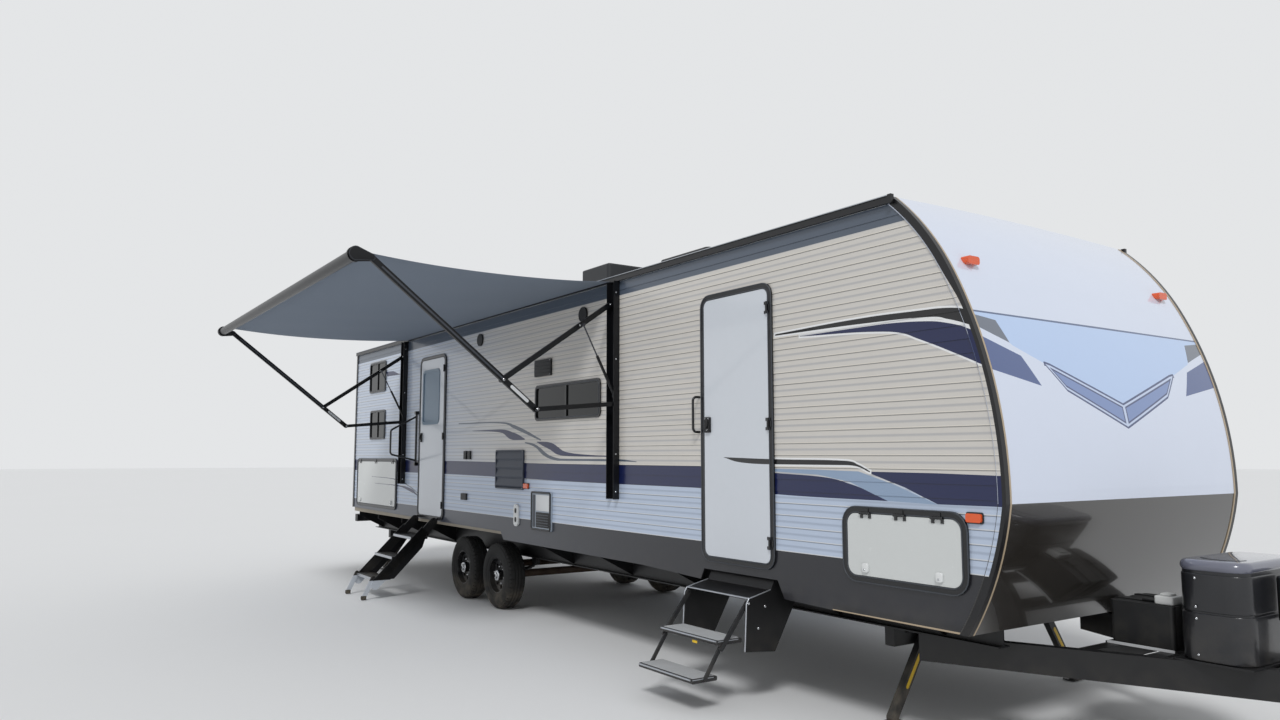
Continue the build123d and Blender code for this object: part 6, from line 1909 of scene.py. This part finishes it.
@dataclass
class WallFittings:
    """Screws, service panels, lamp bases and the bright line above the gutter."""

    heater: tuple[float, float, float, float] = (-4978.0, -4602.0, 866.0, 1219.0)
    pill: tuple[float, float, float, float] = (-5345.0, -5255.0, 876.0, 1085.0)
    fridge: tuple[float, float, float, float] = (-5768.0, -5161.0, 1223.0, 1604.0)
    range_vent: tuple[float, float, float, float] = (-4949.0, -4633.0, 2283.0, 2439.0)
    face: float = -1237.0
    lamps: tuple[tuple[float, float, float, float], ...] = (
        (-227.0, -137.0, 1212.0, 1257.0), (-5151.0, -5061.0, 1240.0, 1285.0),
    )
    lamp_seat: float = -1217.0
    gutter: tuple[float, float, float, float] = (-10440.0, -660.0, -1248.0, 3019.0)

    def panel(
        self, name: str, low: Point, high: Point, corner: float, proud: float, coat: Coat, face: float = 0.0
    ) -> None:
        """Rounded plate on the wall's fittings.

        Args:
            name: the plate's name.
            low: its corner with the smallest x and z.
            high: its corner with the largest ones.
            corner: radius of its corners.
            proud: how far it stands out.
            coat: its finish.
            face: place of its seat along y, or 0 for the fittings' own face.
        """
        start = face or self.face
        piece = Bench.slab(name, rounded(low, high, corner), 1, start, start - proud, min(proud / 2, 1.5))
        DRESSER.wear(Bench.smooth(piece), coat, "body")

    def water_heater(self) -> None:
        """Black surround, a pale field, a narrow column and a dark slotted lower half."""
        rear, front, low, high = self.heater
        line = [(x, self.face, z) for x, z in rounded((rear + 9, low + 9), (front - 9, high - 9), 12)]
        ring = Bench.tube("heater_surround", line, 10.0, closed=True)
        DRESSER.wear(ring, Coat.FRAME, "body")
        self.panel("heater_door", (rear + 96, low + 178), (front - 28, high - 30), 6, 3.0, Coat.BLANK)
        self.panel("heater_column", (rear + 30, low + 28), (rear + 82, high - 30), 6, 2.0, Coat.GROOVE)
        self.panel("heater_grille", (rear + 96, low + 28), (front - 28, low + 166), 6, 2.0, Coat.PLASTIC)
        slots = []
        for count in range(5):
            level = low + 42 + 24 * count
            outline = rounded((rear + 108, level), (front - 40, level + 8), 3)
            slots.append(Bench.slab(f"slot_{count}", outline, 1, self.face - 2, self.face - 5, 1.0))
        DRESSER.group("heater_slots", slots, Coat.GROOVE, "body", "fitting_black")

    def screws(self) -> None:
        """Corner screws of the vents and service panels."""
        places = []
        for rear, front, low, high in (self.heater, self.fridge, self.range_vent):
            for x in (rear + 12, front - 12):
                places += [(x, self.face - 1, z) for z in (low + 12, high - 12)]
        rear, front, low, high = self.pill
        places += [((rear + front) / 2, self.face, z) for z in (low + 12, high - 12)]
        DRESSER.bolt("fitting_screws", 4.5, (0, -1, 0), places)

    def build(self) -> None:
        """Builds all wall fittings."""
        self.water_heater()
        self.screws()
        rear, front, low, high = self.pill
        for level in (low + 62, high - 62):
            lens = (rear + 26, level - 24), (front - 26, level + 24)
            self.panel(f"pill_lens_{level:.0f}", *lens, 18, 3.0, Coat.PLASTIC)
        rear, front, low, high = self.range_vent
        for count in range(4):
            foot = low + 22 + 32 * count
            lip = (rear + 18, foot), (front - 18, foot + 12)
            self.panel(f"range_vent_lip_{count}", *lip, 5, 4.0, Coat.PLASTIC)
        for count, (rear, front, low, high) in enumerate(self.lamps):
            base = (rear - 7, low - 7), (front + 7, high + 7)
            self.panel(f"lamp_base_{count}", *base, 12, 6.0, Coat.FRAME, self.lamp_seat)
        rear, front, y, z = self.gutter
        line = Bench.tube("gutter_bright_line", [(rear, y, z), (front, y, z)], 3.4)
        DRESSER.wear(line, Coat.ALUMINIUM, "body")


@dataclass
class EntranceSteps:
    """Bright edges, coated tread tops and bolts of the front steps and the rear ladder."""

    middle: float = -2035.0
    half: float = 320.0
    treads: tuple[tuple[str, float, float], ...] = (
        ("step_upper", -1545.0, 408.0), ("step_lower", -1730.0, 200.0),
    )
    depth: float = 195.0
    thick: float = 28.0
    cheek: float = 32.0
    nesting: float = 17.0
    pad_half: float = 84.0
    ribs: int = 8
    rib_pitch: float = 21.0
    hood_line: tuple[Point, ...] = ((-1403.0, 658.0), (-1424.0, 628.0), (-1441.0, 338.0))
    hood_back: Point = (-1221.0, 699.0)
    hood_bolts: tuple[Point, ...] = ((-1405.0, 628.0), (-1330.0, 470.0), (-1270.0, 600.0))
    tab: tuple[float, float, float, float] = (-1985.0, -1935.0, 376.0, 392.0)
    tab_face: Point = (-1643.0, -1645.0)
    ladder: tuple[float, float] = (-7850.0, -7250.0)
    pivot: Point = (-1285.0, 805.0)
    foot: Point = (-2050.0, 27.0)
    lips: tuple[Point, ...] = ((-1540.0, 645.0), (-1753.0, 442.0), (-1954.0, 225.0))
    board: tuple[Point, ...] = (
        (130.0, 60.0), (905.0, 60.0), (735.0, -105.0), (285.0, -105.0), (130.0, -30.0),
    )

    def down(self, along: float, front: float) -> Point:
        """Point of the ladder's section, along it from the pivot and to its front.

        Args:
            along: distance from the pivot along the ladder.
            front: distance to its front.

        Returns:
            The point over y and z.
        """
        run = math.dist(self.pivot, self.foot)
        way = [(end - start) / run for start, end in zip(self.pivot, self.foot)]
        return (
            self.pivot[0] + along * way[0] + front * way[1],
            self.pivot[1] + along * way[1] - front * way[0],
        )

    def tread(self, count: int, body: str, y: float, z: float) -> None:
        """Ribbed top and bright edges of one tread of the front steps.

        Args:
            count: its number from the top; each is narrower than the one above.
            body: the body that it rides on.
            y: middle of the tread.
            z: middle of its thickness.
        """
        reach = self.half - self.cheek - self.nesting * count
        low, high = self.middle - reach, self.middle + reach
        top = z + self.thick / 2
        outline = rounded((low, y - self.pad_half), (high, y + self.pad_half), 10)
        pads = [Bench.slab("pad", outline, 2, top, top + 2.5, 1.0)]
        for row in range(self.ribs):
            start = y - self.pad_half + 10 + self.rib_pitch * row
            outline = rounded((low + 12, start), (high - 12, start + 7), 3)
            pads.append(Bench.slab(f"rib_{row}", outline, 2, top + 2.5, top + 4.0, 0.7))
        DRESSER.group(f"tread_top_{body}", pads, Coat.TREAD_TOP, body, "step_grey")
        lip = y - self.depth / 2 - 1
        bars = [Bench.tube("lip", [(low, lip, z + 8), (high, lip, z + 8)], 6.0)]
        for x in (low - 8, high + 8):
            bars.append(Bench.tube("cheek", [(x, lip + 6, z + 8), (x, lip + 168, z + 8)], 4.0))
        DRESSER.group(f"tread_edges_{body}", bars, Coat.ALUMINIUM, body, "step_grey")

    def hood(self) -> None:
        """Bright edges and bolts of the hood over the front steps, and the tab on the upper tread."""
        low, high = self.middle - self.half, self.middle + self.half
        crest = self.hood_line[0]
        edges = [Bench.tube("hood_edge", [(low, *crest), (high, *crest)], 6.0)]
        for x in (low, high):
            edges.append(Bench.tube("hood_side", [(x, *point) for point in self.hood_line], 4.5))
        for x in (low, high):
            edges.append(Bench.tube("hood_back", [(x, *crest), (x, *self.hood_back)], 4.0))
        DRESSER.group("step_hood_edges", edges, Coat.ALUMINIUM, "body", "step_grey")
        places = [(high + 1, *point) for point in self.hood_bolts]
        DRESSER.bolt("step_bolts", 9.0, (1, 0, 0), places)
        rear, front, foot, top = self.tab
        tab = Bench.slab("step_tab", rounded((rear, foot), (front, top), 3), 1, *self.tab_face, 0.8)
        DRESSER.wear(tab, Coat.YELLOW, "step_upper")

    def rear_ladder(self) -> None:
        """Broad boards, bright nosings and rubber feet."""
        rear, front = self.ladder
        outline = [self.down(*point) for point in self.board]
        boards = [
            Bench.slab(f"board_{x:.0f}", outline, 0, x, x + way * 9, 1.5)
            for x, way in ((rear, 1), (front, -1))
        ]
        where = ("ladder_steps", "step_grey")
        DRESSER.group("ladder_boards", boards, Coat.AWNING, *where)
        nosings, tops = [], []
        for y, z in self.lips:
            nosing = rounded((rear + 16, z - 27), (front - 16, z + 1), 4)
            nosings.append(Bench.slab("nosing", nosing, 1, y + 1, y - 3, 1.2))
            top = rounded((rear + 18, y + 4), (front - 18, y + 150), 6)
            tops.append(Bench.slab("top", top, 2, z, z + 2, 0.8))
        DRESSER.group("ladder_nosings", nosings, Coat.ALUMINIUM, *where)
        DRESSER.group("ladder_tread_tops", tops, Coat.PLASTIC, *where)
        foot = rounded((-2078.0, 2.5), (-2022.0, 46.0), 10)
        feet = [Bench.slab(f"foot_{x:.0f}", foot, 0, x, x + 24, 3.0) for x in (rear + 9, front - 33)]
        DRESSER.group("ladder_feet", feet, Coat.TYRE, *where, smooth=True)

    def build(self) -> None:
        """Dresses the steps and the ladder."""
        for count, (body, y, z) in enumerate(self.treads):
            self.tread(count, body, y, z)
        self.hood()
        self.rear_ladder()


@dataclass
class Drawbar:
    """Gas bottle cover, battery straps and module, tray edge and the marks on the legs."""

    middle: float = 505.0
    half_length: float = 169.0
    half_width: float = 338.0
    levels: tuple[float, ...] = (536.0, 768.0, 776.0, 962.0, 968.0, 1028.0)
    corner: float = 100.0
    lid_line: tuple[Point, ...] = ((-96, -190), (-40, -232), (30, -246), (92, -214), (104, -160))
    screw_x: float = 440.0
    screw_levels: tuple[float, ...] = (800.0, 742.0, 566.0)
    lid_screw_level: float = 940.0
    battery: tuple[float, float, float, float] = (-84.0, 264.0, 536.0, 762.0)
    straps: tuple[int, int] = (-99, 99)
    strap_half: float = 19.0
    leg_pivot: Point = (640.0, 455.0)
    leg_foot: Point = (935.0, 32.0)
    leg_mark: Point = (0.2, 0.62)
    mark_half: float = 12.0
    mark_face: Point = (-976.0, -974.5)

    def shell(
        self, name: str, inset: float, low: float, high: float, edge: float, steps: int
    ) -> bpy.types.Object:
        """One storey of the bottle cover, drawn in by an inset.

        Args:
            name: the storey's name.
            inset: how far it is drawn in all round.
            low: its lowest height.
            high: its highest height.
            edge: how far its rims are rounded.
            steps: steps of that rounding.

        Returns:
            The closed storey.
        """
        outline = rounded(
            (self.middle - self.half_length + inset, inset - self.half_width),
            (self.middle + self.half_length - inset, self.half_width - inset), self.corner - inset, 10,
        )
        return Bench.smooth(Bench.slab(name, outline, 2, low, high, edge, steps), 40.0)

    def cover(self) -> None:
        """Cover in two halves with a seam, under a rounded lid."""
        foot, seam, waist, neck, rim, top = self.levels
        body = Bench.joined("tank_cover_body", [
            self.shell("lower", 0.0, foot, seam, 5.0, 3),
            self.shell("core", 9.0, seam - 20, rim + 20, 0.0, 1),
            self.shell("upper", 4.0, waist, neck, 6.0, 3),
        ])
        DRESSER.wear(body, Coat.TANK, "body", ["tank_cover"])
        lid = self.shell("tank_cover_lid", 1.0, rim, top, 36.0, 8)
        DRESSER.wear(lid, Coat.LID, "body")
        line = Bench.tube("tank_lid_line", [(self.middle + x, y, top + 0.5) for x, y in self.lid_line], 2.0)
        DRESSER.wear(line, Coat.PLASTIC, "body")
        places = [(self.screw_x, -self.half_width - 1, z) for z in self.screw_levels]
        places.append((self.screw_x, 3 - self.half_width, self.lid_screw_level))
        DRESSER.bolt("tank_cover_screws", 7.0, (0, -1, 0), places)

    def batteries(self) -> None:
        """Buckled straps over both boxes, the pale module and the tray's bright edge."""
        rear, front, foot, top = self.battery
        band = [
            (rear - 3, foot), (rear - 3, top + 3), (front + 3, top + 3), (front + 3, foot),
            (front, foot), (front, top), (rear, top), (rear, foot),
        ]
        straps = [
            Bench.slab(f"strap_{y}", band, 1, y - self.strap_half, y + self.strap_half, 0.8)
            for y in self.straps
        ]
        for y in self.straps:
            outline = rounded((60, y - 26), (128, y + 26), 8)
            straps.append(Bench.slab(f"buckle_{y}", outline, 2, top + 3, top + 13, 3.0))
        DRESSER.group("battery_straps", straps, Coat.PLASTIC, "body", "battery_black")
        module = [
            Bench.slab("module", rounded((150, -176), (250, -52), 14), 2, 761, 806, 7.0, 3),
            Bench.slab("module_cap", rounded((170, -150), (228, -80), 10), 2, 806, 818, 4.0, 2),
        ]
        DRESSER.group("battery_module", module, Coat.SHROUD, "body", "service_white", smooth=True)
        edge = Bench.slab("tray_edge", rounded((-90, 526), (268, 541), 3), 1, -219.0, -223.0, 1.0)
        DRESSER.wear(edge, Coat.BLANK, "body")

    def leg_marks(self) -> None:
        """Plain yellow strips on the front corner legs."""
        for hand, side in (("curb", -1), ("road", 1)):
            run = list(zip(self.leg_pivot, self.leg_foot))
            ends = [[start + (end - start) * share for start, end in run] for share in self.leg_mark]
            line = hull(*((side * y, z) for y, z in ends), self.mark_half, self.mark_half, 5)
            strip = Bench.slab(f"leg_strip_{hand}", line, 0, *self.mark_face, 0.5)
            DRESSER.wear(strip, Coat.YELLOW, f"leg_front_{hand}")

    def build(self) -> None:
        """Builds what stands on the drawbar, and the marks on the legs."""
        self.cover()
        self.batteries()
        self.leg_marks()


@dataclass
class RoofFittings:
    """Ribs of the roof air conditioner, vent lids and sealant beads."""

    cooler: Point = (-3830.0, 3387.0)
    rib_half: Point = (250.0, 9.0)
    vents: tuple[Point, ...] = ((-8000.0, 300.0), (-1900.0, 0.0))
    vent_rise: float = 80.0
    lid_half: float = 178.0
    seams: tuple[float, ...] = (-10430.0, -5200.0, -720.0)
    crown: float = 3052.0
    eaves: float = 3014.0

    def roof_level(self, y: float) -> float:
        """Height of the crowned roof over a distance from the middle."""
        return self.crown - (self.crown - self.eaves) * (y / HALF_WIDTH) ** 2

    def build(self) -> None:
        """Builds the roof's fittings."""
        x, top = self.cooler
        long, wide = self.rib_half
        ribs = []
        for y in range(-200, 201, 80):
            outline = rounded((x - long, y - wide), (x + long, y + wide), 8)
            ribs.append(Bench.slab(f"rib_{y}", outline, 2, top - 3, top + 3, 1.5))
        DRESSER.group("cooler_ribs", ribs, Coat.AC_SHELL, "body", "ac_white", smooth=True)
        top, half = self.crown + self.vent_rise, self.lid_half
        lids = []
        for x, y in self.vents:
            outline = rounded((x - half, y - half), (x + half, y + half), 40)
            lids.append(Bench.slab("lid", outline, 2, top - 2, top + 8, 6.0, 4))
        DRESSER.group("roof_vent_lids", lids, Coat.SHROUD, "body", "ac_white", smooth=True)
        beads = [
            Bench.tube("bead", [(x, y, self.roof_level(y) + 1) for y in range(-1180, 1181, 118)], 5.0)
            for x in self.seams
        ]
        DRESSER.group("roof_sealant", beads, Coat.ROOF, "body", "roof_skin")


@dataclass
class Studio:
    """Pale floor, soft light, and the camera where the photographer stood."""

    eye: tuple[float, float, float] = (2758.29, -5267.33, 1548.87)
    azimuth: float = 55.80
    pitch: float = 5.94
    lens: float = 25.84
    sensor: float = 36.0
    floor_gap: float = 0.003
    sky: float = 0.56
    seen: float = 0.24
    sun: float = 1.5
    sun_width: float = 14.0
    sun_way: tuple[float, float, float] = (-0.62, 0.55, -0.85)

    def camera(self) -> None:
        """Places the camera of the picture."""
        data = bpy.data.cameras.new("camera")
        data.sensor_width, data.lens = self.sensor, self.lens
        data.clip_end = 300.0
        camera = bpy.data.objects.new("camera", data)
        bpy.context.scene.collection.objects.link(camera)
        around, up = math.radians(self.azimuth), math.radians(self.pitch)
        look = Vector((-math.sin(around) * math.cos(up), math.cos(around) * math.cos(up), math.sin(up)))
        camera.location = DRAWING.at(*self.eye)
        camera.rotation_euler = look.to_track_quat("-Z", "Y").to_euler()
        bpy.context.scene.camera = camera

    def floor(self) -> None:
        """Wide pale floor a hair under the tyres."""
        Bench.clear()
        bpy.ops.mesh.primitive_circle_add(vertices=64, radius=120.0, fill_type="NGON")
        floor = Bench.settle("floor")
        floor.location.z = -self.floor_gap
        pale = Finish("floor_paint", (0.78, 0.785, 0.79, 1.0), 0.85, drift=0.02, patch=0.3, dust=0.0)
        floor.data.materials.append(pale.material())

    def light(self) -> None:
        """Even sky, a pale surround for camera and reflections, and one soft sun."""
        world = bpy.data.worlds.new("studio")
        bpy.context.scene.world = world
        world.use_nodes = True
        board = Board(world.node_tree)
        world.node_tree.nodes.clear()
        path = board.node("ShaderNodeLightPath").outputs
        seen = board.maths("MAXIMUM", path["Is Camera Ray"], path["Is Transmission Ray"])
        seen = board.maths("MAXIMUM", seen, path["Is Glossy Ray"])
        strength = board.maths("MULTIPLY_ADD", seen, self.seen, self.sky)
        sky = board.node("ShaderNodeBackground", {0: (0.97, 0.985, 1.0, 1.0), 1: strength})
        board.node("ShaderNodeOutputWorld", {0: sky.outputs[0]})
        data = bpy.data.lights.new("sun", "SUN")
        data.energy, data.angle = self.sun, math.radians(self.sun_width)
        sun = bpy.data.objects.new("sun", data)
        bpy.context.scene.collection.objects.link(sun)
        sun.rotation_euler = Vector(self.sun_way).to_track_quat("-Z", "Y").to_euler()

    def build(self) -> None:
        """Sets the whole studio up."""
        bpy.context.scene.view_settings.view_transform = "Standard"
        self.camera()
        self.floor()
        self.light()


def main() -> None:
    """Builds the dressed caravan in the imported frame."""
    logging.basicConfig(level=logging.INFO, format="%(name)s: %(message)s")
    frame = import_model()
    DRAWING.read()
    Studio().build()
    DRESSER.dress_nodes(frame["nodes"])
    assemblies = (
        RunningGear(), Awning(), AwningArms(), Openings(), WallFittings(), EntranceSteps(), Drawbar(),
        RoofFittings(),
    )
    for assembly in assemblies:
        assembly.build()
        log.info("%s done", type(assembly).__name__)
    log.info("added triangles: %d", DRESSER.triangles)


if __name__ == "__main__":
    main()
